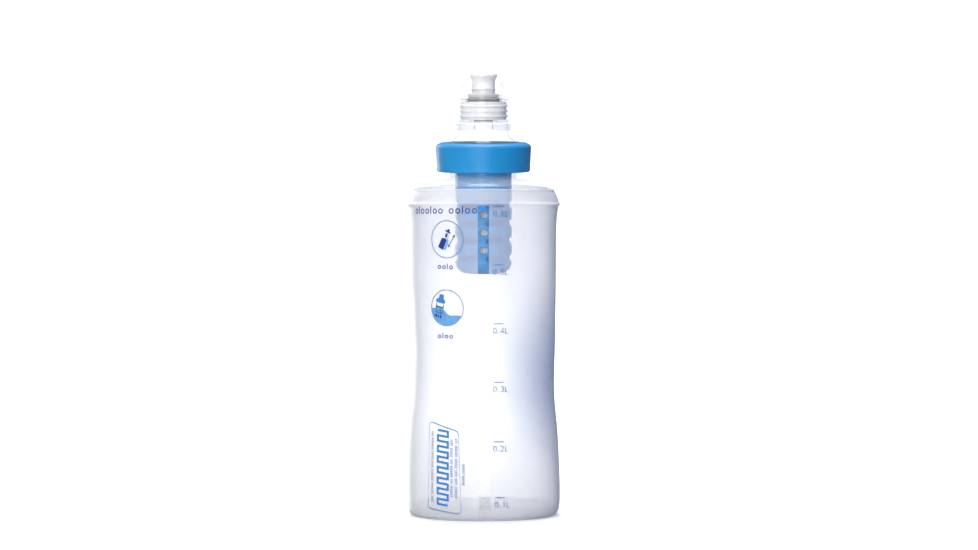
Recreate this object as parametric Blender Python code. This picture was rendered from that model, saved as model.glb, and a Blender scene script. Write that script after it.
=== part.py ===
"""Soft water flask with a screw-in hollow-fibre filter, a push-pull spout and a flip cap.

Metres, +Z up. The origin is the middle of the flask's flat underside, +X is across the wide
side of the oval body and -Y is the printed front. Each piece is its own closed solid, and
pieces that touch on the real flask keep GAP between them.
"""
import math

import bmesh
import bpy
from mathutils import Matrix, Vector

MM = 0.001
GAP = 0.3 * MM

# Flask body: an oval tube of welded film. Stations are (height, half width) up its outer side.
OVAL = 0.9
FILM_THICKNESS = 0.8 * MM
WELD_LIP_HEIGHT = 157.8 * MM
FILM_TOP_HEIGHT = 165.1 * MM
FLASK_STATIONS = [(h * MM, w * MM) for h, w in (
    (0.0, 34.4), (0.6, 36.2), (1.9, 37.5), (5.5, 38.4), (12.0, 38.6), (30.0, 38.1),
    (45.0, 37.4), (58.0, 36.4), (72.0, 35.8), (90.0, 35.8), (112.0, 36.35), (135.0, 36.65),
    (150.0, 37.0), (155.0, 37.7), (157.8, 38.7), (161.5, 37.5), (165.1, 35.4))]
SEAM_BOW = 1.6 * MM
SEAM_BOW_START = 120.0 * MM
BASE_PANEL_THICKNESS = 0.9 * MM
BASE_PANEL_EDGE = 33.8 * MM
BASE_RIM_HEIGHT = 5.5 * MM
SEAM_STRIP_WIDTH = 5.5 * MM
SEAM_STRIP_THICKNESS = 0.5 * MM
SEAM_STRIP_SAG = 0.15 * MM
SEAM_STRIP_BOTTOM = 7.5 * MM
SEAM_STRIP_TOP = 154.0 * MM

# Moulded shoulder and neck.
SHOULDER_WALL = 1.8 * MM
SKIRT_BOTTOM = 159.0 * MM
NECK_RADIUS = 19.1 * MM
NECK_BORE = 16.6 * MM
NECK_BASE = 172.2 * MM
NECK_RIM = 181.6 * MM

# Thread between neck and collar.
THREAD_LEAD = 4.0 * MM
THREAD_TURNS = 1.125
NECK_THREAD_TIP = 20.9 * MM
NECK_THREAD_START = 175.4 * MM
COLLAR_THREAD_TIP = 20.0 * MM

# Collar.
COLLAR_TOP_RADIUS = 24.1 * MM
COLLAR_FOOT_RADIUS = 23.5 * MM
COLLAR_BOTTOM = 173.9 * MM
COLLAR_TOP = 188.7 * MM
COLLAR_LIP_UNDERSIDE = 186.9 * MM
COLLAR_BORE = 21.3 * MM
COLLAR_HOLE = 18.8 * MM

# Filter cartridge.
FLANGE_RADIUS = 19.5 * MM
HEAD_RADIUS = 14.2 * MM
HEAD_BORE = 12.9 * MM
HEAD_BOTTOM = 164.6 * MM
HEAD_FLANGE_BOTTOM = 183.4 * MM
HEAD_FLANGE_TOP = 184.9 * MM
CAGE_RADIUS = 14.3 * MM
CAGE_WALL = 1.2 * MM
CAGE_BOTTOM = 122.6 * MM
CAGE_TOP = HEAD_BOTTOM - GAP
CAGE_CORNER = 6.0 * MM
CAGE_SPIGOT_RADIUS = HEAD_BORE - GAP
CAGE_SPIGOT_TOP = 167.0 * MM
CAGE_COLUMNS = 6
WINDOW_PITCH = 8.87 * MM
WINDOW_HEIGHT = 3.0 * MM
WIDE_WINDOW_ROWS = 4
WIDE_WINDOW_FIRST = 130.5 * MM
WIDE_WINDOW_SPAN = (5.5, 48.5)
NARROW_WINDOW_ROWS = 4
NARROW_WINDOW_FIRST = WIDE_WINDOW_FIRST + WINDOW_PITCH / 2
NARROW_WINDOW_SPAN = (-7.5, 10.5)
POTTING_TOP = 174.0 * MM
FIBRE_RADIUS = 12.2 * MM
FIBRE_NECK_RADIUS = 11.1 * MM
FIBRE_NECK_HEIGHT = 162.4 * MM
FIBRE_BOTTOM = 125.6 * MM

# Nozzle, valve stem and spout.
NOZZLE_FLANGE_RADIUS = 19.8 * MM
NOZZLE_FLANGE_BOTTOM = 185.2 * MM
NOZZLE_RADIUS = 14.05 * MM
NOZZLE_BORE = 12.5 * MM
BARREL_TOP = 210.6 * MM
FLOOR_TOP = 200.1 * MM
FLOOR_THICKNESS = 1.1 * MM
FLOOR_HOLE = 6.9 * MM
NOZZLE_SHELF = 214.8 * MM
SHELF_RADIUS = 13.0 * MM
SHELF_UNDERSIDE = 213.2 * MM
GROOVE_RADIUS = 13.6 * MM
GROOVE_BOTTOM = 193.5 * MM
GROOVE_TOP = 199.0 * MM
GUIDE_BORE = 8.15 * MM
GUIDE_RADIUS = 9.4 * MM
SPOUT_HOLE = 6.1 * MM
SPOUT_RADIUS = 5.8 * MM
SPOUT_LIP_RADIUS = 7.0 * MM
SPOUT_TOP = 223.3 * MM
SPOUT_BORE = 3.4 * MM
SPOUT_OUTLET = 1.9 * MM
SPOUT_FOOT = 208.6 * MM
SPOUT_FOOT_RADIUS = 7.6 * MM
STEM_RADIUS = 1.6 * MM
STEM_TOP = 217.9 * MM

# Cap ring, strap and flip cap.
CAP_RING_BOTTOM = 194.7 * MM
CAP_RING_TOP = 198.0 * MM
CAP_RING_BORE = 13.9 * MM
CAP_RING_RADIUS = 15.3 * MM
STRAP_WIDTH = 9.6 * MM
STRAP_FRONT = 15.5 * MM
STRAP_BACK = 17.0 * MM
CAP_TOP = 224.6 * MM
CAP_CROWN_RADIUS = 8.9 * MM
CAP_BRIM_RADIUS = 13.7 * MM
CAP_BRIM_BOTTOM = NOZZLE_SHELF + GAP
CAP_HINGE = Vector((0.0, 17.0 * MM, 215.9 * MM))
HINGE_BARREL_RADIUS = 1.6 * MM
HINGE_BARREL_WIDTH = 5.2 * MM
HINGE_PIN_RADIUS = 0.7 * MM
HINGE_PIN_LENGTH = 9.0 * MM

BODY_SEGMENTS = 40
TURNED_SEGMENTS = 32
SMALL_SEGMENTS = 24


def clear_scene():
    for obj in list(bpy.data.objects):
        bpy.data.objects.remove(obj, do_unlink=True)


def material(name, colour, roughness, metallic=0.0, alpha=1.0):
    """A Principled BSDF of one colour."""
    made = bpy.data.materials.new(name)
    made.use_nodes = True
    shader = made.node_tree.nodes["Principled BSDF"]
    shader.inputs["Base Color"].default_value = (*colour, 1.0)
    shader.inputs["Roughness"].default_value = roughness
    shader.inputs["Metallic"].default_value = metallic
    shader.inputs["Alpha"].default_value = alpha
    return made


def joint_frame(name, position, parent=None):
    """An empty on a joint's axis, which carries one moving body."""
    frame = bpy.data.objects.new(name, None)
    frame.empty_display_size = 10 * MM
    bpy.context.scene.collection.objects.link(frame)
    frame.location = position
    if parent:
        frame.parent = parent
        frame.matrix_parent_inverse = parent.matrix_world.inverted()
    bpy.context.view_layer.update()
    return frame


def finish_object(name, bm, finish, body, smooth=35):
    """Turn a bmesh in world coordinates into a named object carried by a body's frame."""
    bmesh.ops.remove_doubles(bm, verts=bm.verts, dist=0.001 * MM)
    bmesh.ops.recalc_face_normals(bm, faces=bm.faces)
    mesh = bpy.data.meshes.new(name)
    bm.to_mesh(mesh)
    bm.free()
    mesh.shade_smooth()
    mesh.set_sharp_from_angle(angle=math.radians(smooth))
    obj = bpy.data.objects.new(name, mesh)
    bpy.context.scene.collection.objects.link(obj)
    obj.data.materials.append(finish)
    obj.parent = body
    obj.matrix_parent_inverse = body.matrix_world.inverted()
    return obj


def boolean(obj, cutter, operation):
    """Join or cut obj with a cutter that stays in the file as a hidden guide."""
    cutter.hide_render = True
    cutter.display_type = 'WIRE'
    cutter.hide_set(True)
    step = obj.modifiers.new(cutter.name, 'BOOLEAN')
    step.operation = operation
    step.object = cutter
    step.solver = 'EXACT'
    return step


def arc(centre, radius, start, end, steps):
    """Points (radius, height) on an arc from start to end degrees."""
    angles = [math.radians(start + (end - start) * i / steps) for i in range(steps + 1)]
    return [(centre[0] + radius * math.cos(a), centre[1] + radius * math.sin(a)) for a in angles]


def turned_mesh(outline, segments, oval=1.0, bow=None):
    """Turn a closed outline of (radius, height) about Z. Points on the axis become poles."""
    bm = bmesh.new()
    rings = []
    for radius, height in outline:
        ring = []
        for i in range(segments):
            angle = 2 * math.pi * i / segments
            lift = bow(height) * math.sin(angle) ** 2 if bow else 0.0
            place = (radius * math.cos(angle), oval * radius * math.sin(angle), height + lift)
            ring.append(bm.verts.new(place))
            if radius == 0.0:
                ring = ring * segments
                break
        rings.append(ring)
    for lower, upper in zip(rings, rings[1:] + rings[:1]):
        for i in range(segments):
            j = (i + 1) % segments
            corners = list(dict.fromkeys((lower[i], lower[j], upper[j], upper[i])))
            if len(corners) > 2:
                bm.faces.new(corners)
    return bm


def turned(name, outline, finish, body, segments=TURNED_SEGMENTS, **shape):
    return finish_object(name, turned_mesh(outline, segments, **shape), finish, body)


def offset_path(path, distance):
    """Move a path of (radius, height) that climbs the outer side inwards by a distance."""
    moved = []
    for i, point in enumerate(path):
        before = path[max(i - 1, 0)]
        after = path[min(i + 1, len(path) - 1)]
        along = Vector((after[0] - before[0], after[1] - before[1])).normalized()
        moved.append((point[0] - along.y * distance, point[1] + along.x * distance))
    return moved


def seam_bow(height):
    """How far the front and back of a level line on the film rise above its sides."""
    climb = (height - SEAM_BOW_START) / (WELD_LIP_HEIGHT - SEAM_BOW_START)
    return SEAM_BOW * min(max(climb, 0.0), 1.0) ** 2


def shoulder_bow(height):
    """The film's bow at the weld, fading out where the shoulder turns into the round neck."""
    fade = (NECK_BASE - height) / (NECK_BASE - FILM_TOP_HEIGHT)
    return SEAM_BOW * min(max(fade, 0.0), 1.0)


def box(bm, low, high):
    """Add a box between two corners."""
    size = Vector(high) - Vector(low)
    middle = (Vector(high) + Vector(low)) / 2
    place = Matrix.Translation(middle) @ Matrix.Diagonal((*size, 1.0))
    bmesh.ops.create_cube(bm, size=1.0, matrix=place)


def rod_along_x(bm, centre, radius, length, segments=16):
    """Add a round rod that lies along X."""
    place = Matrix.Translation(centre) @ Matrix.Rotation(math.pi / 2, 4, 'Y')
    bmesh.ops.create_cone(bm, cap_ends=True, segments=segments, radius1=radius, radius2=radius,
                          depth=length, matrix=place)


def helical_ridge(name, root, tip, start, start_angle, root_width, tip_width, finish, body):
    """A thread ridge of trapezoid section from root to tip radius, fading in and out."""
    bm = bmesh.new()
    steps = int(TURNED_SEGMENTS * THREAD_TURNS)
    fade_steps = 3
    sections = []
    for i in range(steps + 1):
        angle = start_angle + 2 * math.pi * THREAD_TURNS * i / steps
        height = start + THREAD_LEAD * THREAD_TURNS * i / steps
        strength = max(min(i, steps - i, fade_steps) / fade_steps, 0.15)
        reach = root + (tip - root) * strength
        across = ((root, -root_width / 2), (reach, -tip_width / 2),
                  (reach, tip_width / 2), (root, root_width / 2))
        sections.append([bm.verts.new((r * math.cos(angle), r * math.sin(angle), height + dz))
                         for r, dz in across])
    for here, there in zip(sections, sections[1:]):
        for i in range(4):
            j = (i + 1) % 4
            bm.faces.new((here[i], here[j], there[j], there[i]))
    bm.faces.new(sections[0])
    bm.faces.new(sections[-1])
    return finish_object(name, bm, finish, body)


# ---------------------------------------------------------------- flask


def flask_film(finish, body):
    """The oval film tube, from the turned-in foot to the weld around the shoulder."""
    outer = [(width, height) for height, width in FLASK_STATIONS]
    inner = offset_path(outer, FILM_THICKNESS)
    return turned("flask_film", outer + inner[::-1], finish, body, BODY_SEGMENTS,
                  oval=OVAL, bow=seam_bow)


def base_panel(finish, body):
    """Flat oval floor panel, with a rim that turns up inside the foot of the film."""
    foot = [(width, height) for height, width in FLASK_STATIONS if height <= BASE_RIM_HEIGHT]
    rim_outer = offset_path(foot, FILM_THICKNESS + GAP)[1:]
    rim_inner = offset_path(foot, FILM_THICKNESS + GAP + BASE_PANEL_THICKNESS)[1:]
    step_height = FILM_THICKNESS + GAP
    outline = [(0.0, 0.0), (BASE_PANEL_EDGE, 0.0), (BASE_PANEL_EDGE, step_height)]
    outline += rim_outer + rim_inner[::-1]
    outline += [(BASE_PANEL_EDGE - BASE_PANEL_THICKNESS, step_height + BASE_PANEL_THICKNESS),
                (BASE_PANEL_EDGE - 2 * BASE_PANEL_THICKNESS, BASE_PANEL_THICKNESS),
                (0.0, BASE_PANEL_THICKNESS)]
    return turned("base_panel", outline, finish, body, BODY_SEGMENTS, oval=OVAL)


def flask_half_width(height):
    """Half width of the film's outer side at a height."""
    for (low, narrow), (high, wide) in zip(FLASK_STATIONS, FLASK_STATIONS[1:]):
        if low <= height <= high:
            return narrow + (wide - narrow) * (height - low) / (high - low)
    raise ValueError("height is off the film")


def seam_strip(finish, body):
    """The inner ply of the tube's lap weld, a strip behind the front of the film."""
    levels = [SEAM_STRIP_BOTTOM]
    levels += [h for h, _ in FLASK_STATIONS if SEAM_STRIP_BOTTOM < h < SEAM_STRIP_TOP]
    levels.append(SEAM_STRIP_TOP)
    bm = bmesh.new()
    sections = []
    for height in levels:
        film_inside = -OVAL * (flask_half_width(height) - FILM_THICKNESS)
        lift = seam_bow(height)
        front = film_inside + GAP + SEAM_STRIP_SAG
        back = front + SEAM_STRIP_THICKNESS
        half = SEAM_STRIP_WIDTH / 2
        corners = ((-half, back), (half, back), (half, front), (-half, front))
        sections.append([bm.verts.new((x, y, height + lift)) for x, y in corners])
    for here, there in zip(sections, sections[1:]):
        for i in range(4):
            j = (i + 1) % 4
            bm.faces.new((here[i], here[j], there[j], there[i]))
    bm.faces.new(sections[0])
    bm.faces.new(sections[-1])
    return finish_object("seam_strip", bm, finish, body)


def shoulder_and_neck(finish, body):
    """Moulded shoulder: a skirt inside the film, a domed top and a threaded round neck."""
    band = [(width, height) for height, width in FLASK_STATIONS if height >= WELD_LIP_HEIGHT]
    skirt = offset_path(band, FILM_THICKNESS + GAP)
    slope = (skirt[2][0] - skirt[0][0]) / (skirt[2][1] - skirt[0][1])
    skirt_foot = (skirt[0][0] + slope * (SKIRT_BOTTOM - skirt[0][1]), SKIRT_BOTTOM)
    dome_edge = (34.9 * MM, FILM_TOP_HEIGHT + GAP)
    dome = [(34.6 * MM, 166.7 * MM), (33.1 * MM, 168.3 * MM), (30.9 * MM, 169.6 * MM),
            (27.0 * MM, 170.7 * MM), (22.5 * MM, 171.7 * MM), (NECK_RADIUS, NECK_BASE)]
    skirt_top = (skirt[2][0], FILM_TOP_HEIGHT)
    outer = [skirt_foot, skirt_top, dome_edge] + dome
    neck = [(NECK_RADIUS, NECK_RIM), (NECK_BORE, NECK_RIM)]
    underside = [(NECK_BORE, NECK_BASE - 2.0 * MM), (22.5 * MM, 169.7 * MM), (27.0 * MM, 168.8 * MM),
                 (30.2 * MM, 167.7 * MM), (32.0 * MM, 166.3 * MM), (32.6 * MM, 165.0 * MM),
                 (skirt_foot[0] - SHOULDER_WALL, SKIRT_BOTTOM)]
    shoulder = turned("shoulder_and_neck", outer + neck + underside, finish, body, BODY_SEGMENTS)
    taper_to_oval(shoulder.data)
    thread = helical_ridge("neck_thread_ridge", NECK_RADIUS - 0.5 * MM, NECK_THREAD_TIP,
                           NECK_THREAD_START, 0.0, 2.2 * MM, 1.0 * MM, finish, body)
    boolean(shoulder, thread, 'UNION')
    return shoulder


def taper_to_oval(mesh):
    """Flatten the shoulder from the round neck to the film's oval, and bow its weld line."""
    inner = 20.0 * MM
    outer = 32.0 * MM
    for vertex in mesh.vertices:
        radius = math.hypot(vertex.co.x, vertex.co.y)
        angle = math.atan2(vertex.co.y, vertex.co.x)
        share = min(max((radius - inner) / (outer - inner), 0.0), 1.0)
        vertex.co.y *= 1.0 - (1.0 - OVAL) * share
        vertex.co.z += shoulder_bow(vertex.co.z) * share * math.sin(angle) ** 2


# ---------------------------------------------------------------- collar


def collar(finish, body):
    """Screw collar: smooth skirt, chamfered top, inward lip and an inside thread."""
    outline = [(COLLAR_FOOT_RADIUS - 0.5 * MM, COLLAR_BOTTOM),
               (COLLAR_FOOT_RADIUS, COLLAR_BOTTOM + 0.5 * MM),
               (COLLAR_TOP_RADIUS, COLLAR_TOP - 2.2 * MM),
               (COLLAR_TOP_RADIUS - 0.6 * MM, COLLAR_TOP - 1.0 * MM),
               (COLLAR_TOP_RADIUS - 2.6 * MM, COLLAR_TOP),
               (COLLAR_HOLE, COLLAR_TOP),
               (COLLAR_HOLE, COLLAR_LIP_UNDERSIDE),
               (COLLAR_BORE, COLLAR_LIP_UNDERSIDE),
               (COLLAR_BORE, COLLAR_BOTTOM)]
    ring = turned("screw_collar", outline, finish, body, BODY_SEGMENTS)
    thread = helical_ridge("collar_thread_ridge", COLLAR_BORE + 0.6 * MM, COLLAR_THREAD_TIP,
                           NECK_THREAD_START, math.pi, 2.0 * MM, 0.8 * MM, finish, body)
    boolean(ring, thread, 'UNION')
    return ring


# ---------------------------------------------------------------- filter


def ring_outline(inner, outer, bottom, top):
    return [(outer, bottom), (outer, top), (inner, top), (inner, bottom)]


def round_seal_outline(middle_radius, middle_height, section):
    """Six-sided section of an O-ring."""
    return arc((middle_radius, middle_height), section, 0, 300, 5)


def filter_head(finish, body):
    """Flanged tube that hangs in the neck and holds the potted fibres."""
    groove_inner = 15.4 * MM
    groove_outer = 17.2 * MM
    groove_floor = HEAD_FLANGE_TOP - 0.9 * MM
    outline = [(HEAD_RADIUS, HEAD_BOTTOM), (HEAD_RADIUS, HEAD_FLANGE_BOTTOM),
               (FLANGE_RADIUS, HEAD_FLANGE_BOTTOM), (FLANGE_RADIUS, HEAD_FLANGE_TOP),
               (groove_outer, HEAD_FLANGE_TOP), (groove_outer, groove_floor),
               (groove_inner, groove_floor), (groove_inner, HEAD_FLANGE_TOP),
               (HEAD_BORE, HEAD_FLANGE_TOP), (HEAD_BORE, HEAD_BOTTOM)]
    return turned("filter_head", outline, finish, body)


def cage_angles():
    """Directions of the cage's edges: each window's sides, and points between them."""
    pitch = 360 / CAGE_COLUMNS
    marks = []
    for column in range(CAGE_COLUMNS):
        base = column * pitch - 90
        middle = (NARROW_WINDOW_SPAN[1] + WIDE_WINDOW_SPAN[1]) / 2
        marks += [base + a for a in (*NARROW_WINDOW_SPAN, WIDE_WINDOW_SPAN[0], middle,
                                     WIDE_WINDOW_SPAN[1])]
    return sorted(a % 360 for a in marks)


def in_window(angle, height):
    """Whether a point on the cage's wall lies in one of its windows."""
    around = (angle + 90 - NARROW_WINDOW_SPAN[0]) % (360 / CAGE_COLUMNS) + NARROW_WINDOW_SPAN[0]
    rows = ((WIDE_WINDOW_SPAN, WIDE_WINDOW_FIRST, WIDE_WINDOW_ROWS),
            (NARROW_WINDOW_SPAN, NARROW_WINDOW_FIRST, NARROW_WINDOW_ROWS))
    for span, first, count in rows:
        row = round((height - first) / WINDOW_PITCH)
        near = abs(height - first - row * WINDOW_PITCH) < WINDOW_HEIGHT / 2
        if span[0] < around < span[1] and near and 0 <= row < count:
            return True
    return False


def cage_side():
    """Outer side of the cage: rounded bottom, window rows, and the spigot in the head."""
    path = arc((CAGE_RADIUS - CAGE_CORNER, CAGE_BOTTOM + CAGE_CORNER), CAGE_CORNER, -90, 0, 3)
    rows = [WIDE_WINDOW_FIRST + i * WINDOW_PITCH for i in range(WIDE_WINDOW_ROWS)]
    rows += [NARROW_WINDOW_FIRST + i * WINDOW_PITCH for i in range(NARROW_WINDOW_ROWS)]
    edges = sorted(row + side * WINDOW_HEIGHT / 2 for row in rows for side in (-1, 1))
    path += [(CAGE_RADIUS, edge) for edge in edges if edge > CAGE_BOTTOM + CAGE_CORNER]
    path.append((CAGE_RADIUS, CAGE_TOP))
    path.append((CAGE_SPIGOT_RADIUS, CAGE_TOP))
    path.append((CAGE_SPIGOT_RADIUS, CAGE_SPIGOT_TOP))
    return path


def filter_cage(finish, body):
    """Round cage with staggered windows, open at the top and closed at the bottom."""
    angles = cage_angles()
    outer_side = cage_side()
    inner_side = [(max(r - CAGE_WALL, 0.0), z) for r, z in outer_side]
    inner_side[0] = (outer_side[0][0], outer_side[0][1] + CAGE_WALL)
    inner_side[1] = (outer_side[1][0] - CAGE_WALL / 2, outer_side[1][1] + CAGE_WALL * 0.85)
    inner_side[-2] = (CAGE_SPIGOT_RADIUS - CAGE_WALL, CAGE_TOP)
    inner_side[-3] = (CAGE_SPIGOT_RADIUS - CAGE_WALL, CAGE_TOP - CAGE_WALL)
    count = len(angles)
    bm = bmesh.new()
    grids = []
    for side in (outer_side, inner_side):
        grids.append([[bm.verts.new((r * math.cos(math.radians(a)), r * math.sin(math.radians(a)), z))
                       for a in angles] for r, z in side])
    outer, inner = grids

    def solid(row, column):
        start = angles[column % count]
        turn = (angles[(column + 1) % count] - start) % 360
        height = (outer_side[row][1] + outer_side[row + 1][1]) / 2
        return 0 <= row < len(outer_side) - 1 and not in_window(start + turn / 2, height)

    for row in range(len(outer_side) - 1):
        for column in range(count):
            if not solid(row, column):
                continue
            j = (column + 1) % count
            bm.faces.new((outer[row][column], outer[row][j], outer[row + 1][j],
                          outer[row + 1][column]))
            bm.faces.new((inner[row][column], inner[row][j], inner[row + 1][j],
                          inner[row + 1][column]))
            if not solid(row, column - 1):
                bm.faces.new((outer[row][column], inner[row][column], inner[row + 1][column],
                              outer[row + 1][column]))
            if not solid(row, column + 1):
                bm.faces.new((outer[row][j], inner[row][j], inner[row + 1][j],
                              outer[row + 1][j]))
            if row > 0 and not solid(row - 1, column):
                bm.faces.new((outer[row][column], outer[row][j], inner[row][j],
                              inner[row][column]))
            if row == len(outer_side) - 2 or not solid(row + 1, column):
                bm.faces.new((outer[row + 1][column], outer[row + 1][j], inner[row + 1][j],
                              inner[row + 1][column]))
    bm.faces.new(outer[0])
    bm.faces.new(inner[0])
    return finish_object("filter_cage", bm, finish, body)


def potting_plug(finish, body):
    """Cast plug in the head that the fibres end in."""
    outline = [(0.0, CAGE_SPIGOT_TOP + GAP), (HEAD_BORE - GAP, CAGE_SPIGOT_TOP + GAP),
               (HEAD_BORE - GAP, POTTING_TOP), (0.0, POTTING_TOP)]
    return turned("potting_plug", outline, finish, body)


def fibre_bundle(finish, body):
    """Outer shape of the looped hollow fibres inside the cage."""
    loop = arc((FIBRE_RADIUS - CAGE_CORNER, FIBRE_BOTTOM + CAGE_CORNER), CAGE_CORNER, -90, 0, 3)
    neck = [(FIBRE_RADIUS, FIBRE_NECK_HEIGHT - 2.4 * MM), (FIBRE_NECK_RADIUS, FIBRE_NECK_HEIGHT),
            (FIBRE_NECK_RADIUS, CAGE_SPIGOT_TOP)]
    outline = [(0.0, FIBRE_BOTTOM)] + loop + neck + [(0.0, CAGE_SPIGOT_TOP)]
    return turned("fibre_bundle", outline, finish, body, SMALL_SEGMENTS)


def neck_gasket(finish, body):
    """Flat ring that the head presses on the neck's rim."""
    outline = ring_outline(16.9 * MM, 19.0 * MM, NECK_RIM + GAP, HEAD_FLANGE_BOTTOM - GAP)
    return turned("neck_gasket", outline, finish, body)


def head_o_ring(finish, body):
    """O-ring between the head's flange and the nozzle's."""
    outline = round_seal_outline(16.3 * MM, HEAD_FLANGE_TOP - 0.2 * MM, 0.4 * MM)
    return turned("head_o_ring", outline, finish, body)


# ---------------------------------------------------------------- nozzle


def nozzle_barrel(finish, body):
    """Clear barrel: flange under the collar, cone, and the groove that the cap's ring snaps in."""
    flange_top = NOZZLE_FLANGE_BOTTOM + 1.4 * MM
    cone_foot = 18.5 * MM
    cone_start = 188.9 * MM
    cone_end = 192.0 * MM
    cone_wall = 1.9 * MM
    bead = 15.0 * MM
    chamfer = 0.5 * MM
    outer = [(NOZZLE_FLANGE_RADIUS, NOZZLE_FLANGE_BOTTOM), (NOZZLE_FLANGE_RADIUS, flange_top),
             (cone_foot, flange_top), (cone_foot, cone_start), (CAP_RING_RADIUS, cone_end),
             (CAP_RING_RADIUS, GROOVE_BOTTOM), (GROOVE_RADIUS, GROOVE_BOTTOM),
             (GROOVE_RADIUS, GROOVE_TOP), (bead, GROOVE_TOP + 0.2 * MM),
             (bead, GROOVE_TOP + 0.9 * MM), (NOZZLE_RADIUS, GROOVE_TOP + 1.2 * MM),
             (NOZZLE_RADIUS, BARREL_TOP - chamfer), (NOZZLE_RADIUS - chamfer, BARREL_TOP)]
    inside = [(NOZZLE_BORE, BARREL_TOP), (NOZZLE_BORE, cone_end + 1.0 * MM),
              (cone_foot - cone_wall, cone_start - GAP), (cone_foot - cone_wall, NOZZLE_FLANGE_BOTTOM)]
    return turned("nozzle_barrel", outer + inside, finish, body)


def nozzle_floor(finish, body):
    """Ring set in the barrel, which the valve stem and the sleeve stand on."""
    outline = ring_outline(FLOOR_HOLE, NOZZLE_BORE - GAP, FLOOR_TOP - FLOOR_THICKNESS, FLOOR_TOP)
    return turned("nozzle_floor", outline, finish, body)


def nozzle_top(finish, body):
    """Clear shelf that plugs the barrel, with the tube that the spout slides in."""
    spigot_radius = NOZZLE_BORE - GAP
    spigot_wall = 1.2 * MM
    collar_height = NOZZLE_SHELF + 0.8 * MM
    guide_bottom = FLOOR_TOP + GAP
    outline = [(spigot_radius, BARREL_TOP - 0.7 * MM), (spigot_radius, BARREL_TOP + GAP),
               (SHELF_RADIUS, BARREL_TOP + 2 * GAP), (SHELF_RADIUS, NOZZLE_SHELF),
               (7.2 * MM, NOZZLE_SHELF), (7.2 * MM, collar_height), (SPOUT_HOLE, collar_height),
               (SPOUT_HOLE, SHELF_UNDERSIDE), (GUIDE_BORE, SHELF_UNDERSIDE),
               (GUIDE_BORE, guide_bottom), (GUIDE_RADIUS, guide_bottom),
               (GUIDE_RADIUS, SHELF_UNDERSIDE), (spigot_radius - spigot_wall, SHELF_UNDERSIDE),
               (spigot_radius - spigot_wall, BARREL_TOP - 0.7 * MM)]
    return turned("nozzle_top", outline, finish, body)


def nozzle_sleeve(finish, body):
    """Ribbed sleeve on the barrel's floor, around the spout's guide."""
    rib_radius = NOZZLE_BORE - GAP
    rib_half = 0.6 * MM
    wall_radius = 11.5 * MM
    bottom = FLOOR_TOP + GAP
    outer = [(wall_radius, bottom)]
    for height in (202.0 * MM, 204.6 * MM, 207.2 * MM):
        outer += [(wall_radius, height - rib_half), (rib_radius, height - rib_half / 2),
                  (rib_radius, height + rib_half / 2), (wall_radius, height + rib_half)]
    outer += [(wall_radius, 209.3 * MM), (10.4 * MM, 209.3 * MM), (10.4 * MM, bottom)]
    return turned("nozzle_sleeve", outer, finish, body)


def valve_stem(finish, body):
    """Centre post on four spokes, which plugs the spout's outlet when it is pushed down."""
    ring_outer = GUIDE_BORE - GAP
    ring_inner = 6.7 * MM
    ring_bottom = 200.5 * MM
    ring_top = 203.2 * MM
    stem = turned("valve_stem", [(0.0, 200.6 * MM), (2.4 * MM, 200.6 * MM), (2.4 * MM, 205.0 * MM),
                                 (STEM_RADIUS, 207.0 * MM), (STEM_RADIUS, STEM_TOP - 0.5 * MM),
                                 (STEM_RADIUS - 0.5 * MM, STEM_TOP), (0.0, STEM_TOP)],
                  finish, body, 16)
    ring = turned("valve_stem_ring", ring_outline(ring_inner, ring_outer, ring_bottom, ring_top),
                  finish, body, SMALL_SEGMENTS)
    bm = bmesh.new()
    reach = (ring_inner + ring_outer) / 2
    box(bm, (-reach, -0.6 * MM, 201.0 * MM), (reach, 0.6 * MM, 202.8 * MM))
    spoke_x = finish_object("valve_stem_spoke_x", bm, finish, body)
    bm = bmesh.new()
    box(bm, (-0.6 * MM, -reach, 201.0 * MM), (0.6 * MM, reach, 202.8 * MM))
    spoke_y = finish_object("valve_stem_spoke_y", bm, finish, body)
    for piece in (spoke_x, spoke_y, ring):
        boolean(stem, piece, 'UNION')
    return stem


def spout(finish, body):
    """Push-pull mouthpiece: flared lip, straight column, and a stop foot with a seal groove."""
    groove_floor = 6.6 * MM
    outline = [(SPOUT_BORE, SPOUT_FOOT), (SPOUT_FOOT_RADIUS, SPOUT_FOOT),
               (SPOUT_FOOT_RADIUS, 209.9 * MM), (groove_floor, 209.9 * MM),
               (groove_floor, 211.5 * MM), (SPOUT_FOOT_RADIUS, 211.5 * MM),
               (SPOUT_FOOT_RADIUS, 212.9 * MM), (SPOUT_RADIUS, 212.9 * MM),
               (SPOUT_RADIUS, 219.6 * MM), (6.3 * MM, 221.0 * MM),
               (SPOUT_LIP_RADIUS, 222.6 * MM), (6.6 * MM, SPOUT_TOP),
               (4.6 * MM, SPOUT_TOP), (SPOUT_OUTLET, 222.8 * MM), (SPOUT_OUTLET, 221.6 * MM),
               (SPOUT_BORE, 220.6 * MM)]
    return turned("spout", outline, finish, body, SMALL_SEGMENTS)


def spout_o_ring(finish, body):
    """O-ring in the groove of the spout's foot."""
    outline = round_seal_outline(7.35 * MM, 210.7 * MM, 0.45 * MM)
    return turned("spout_o_ring", outline, finish, body, SMALL_SEGMENTS)


# ---------------------------------------------------------------- cap


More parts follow.
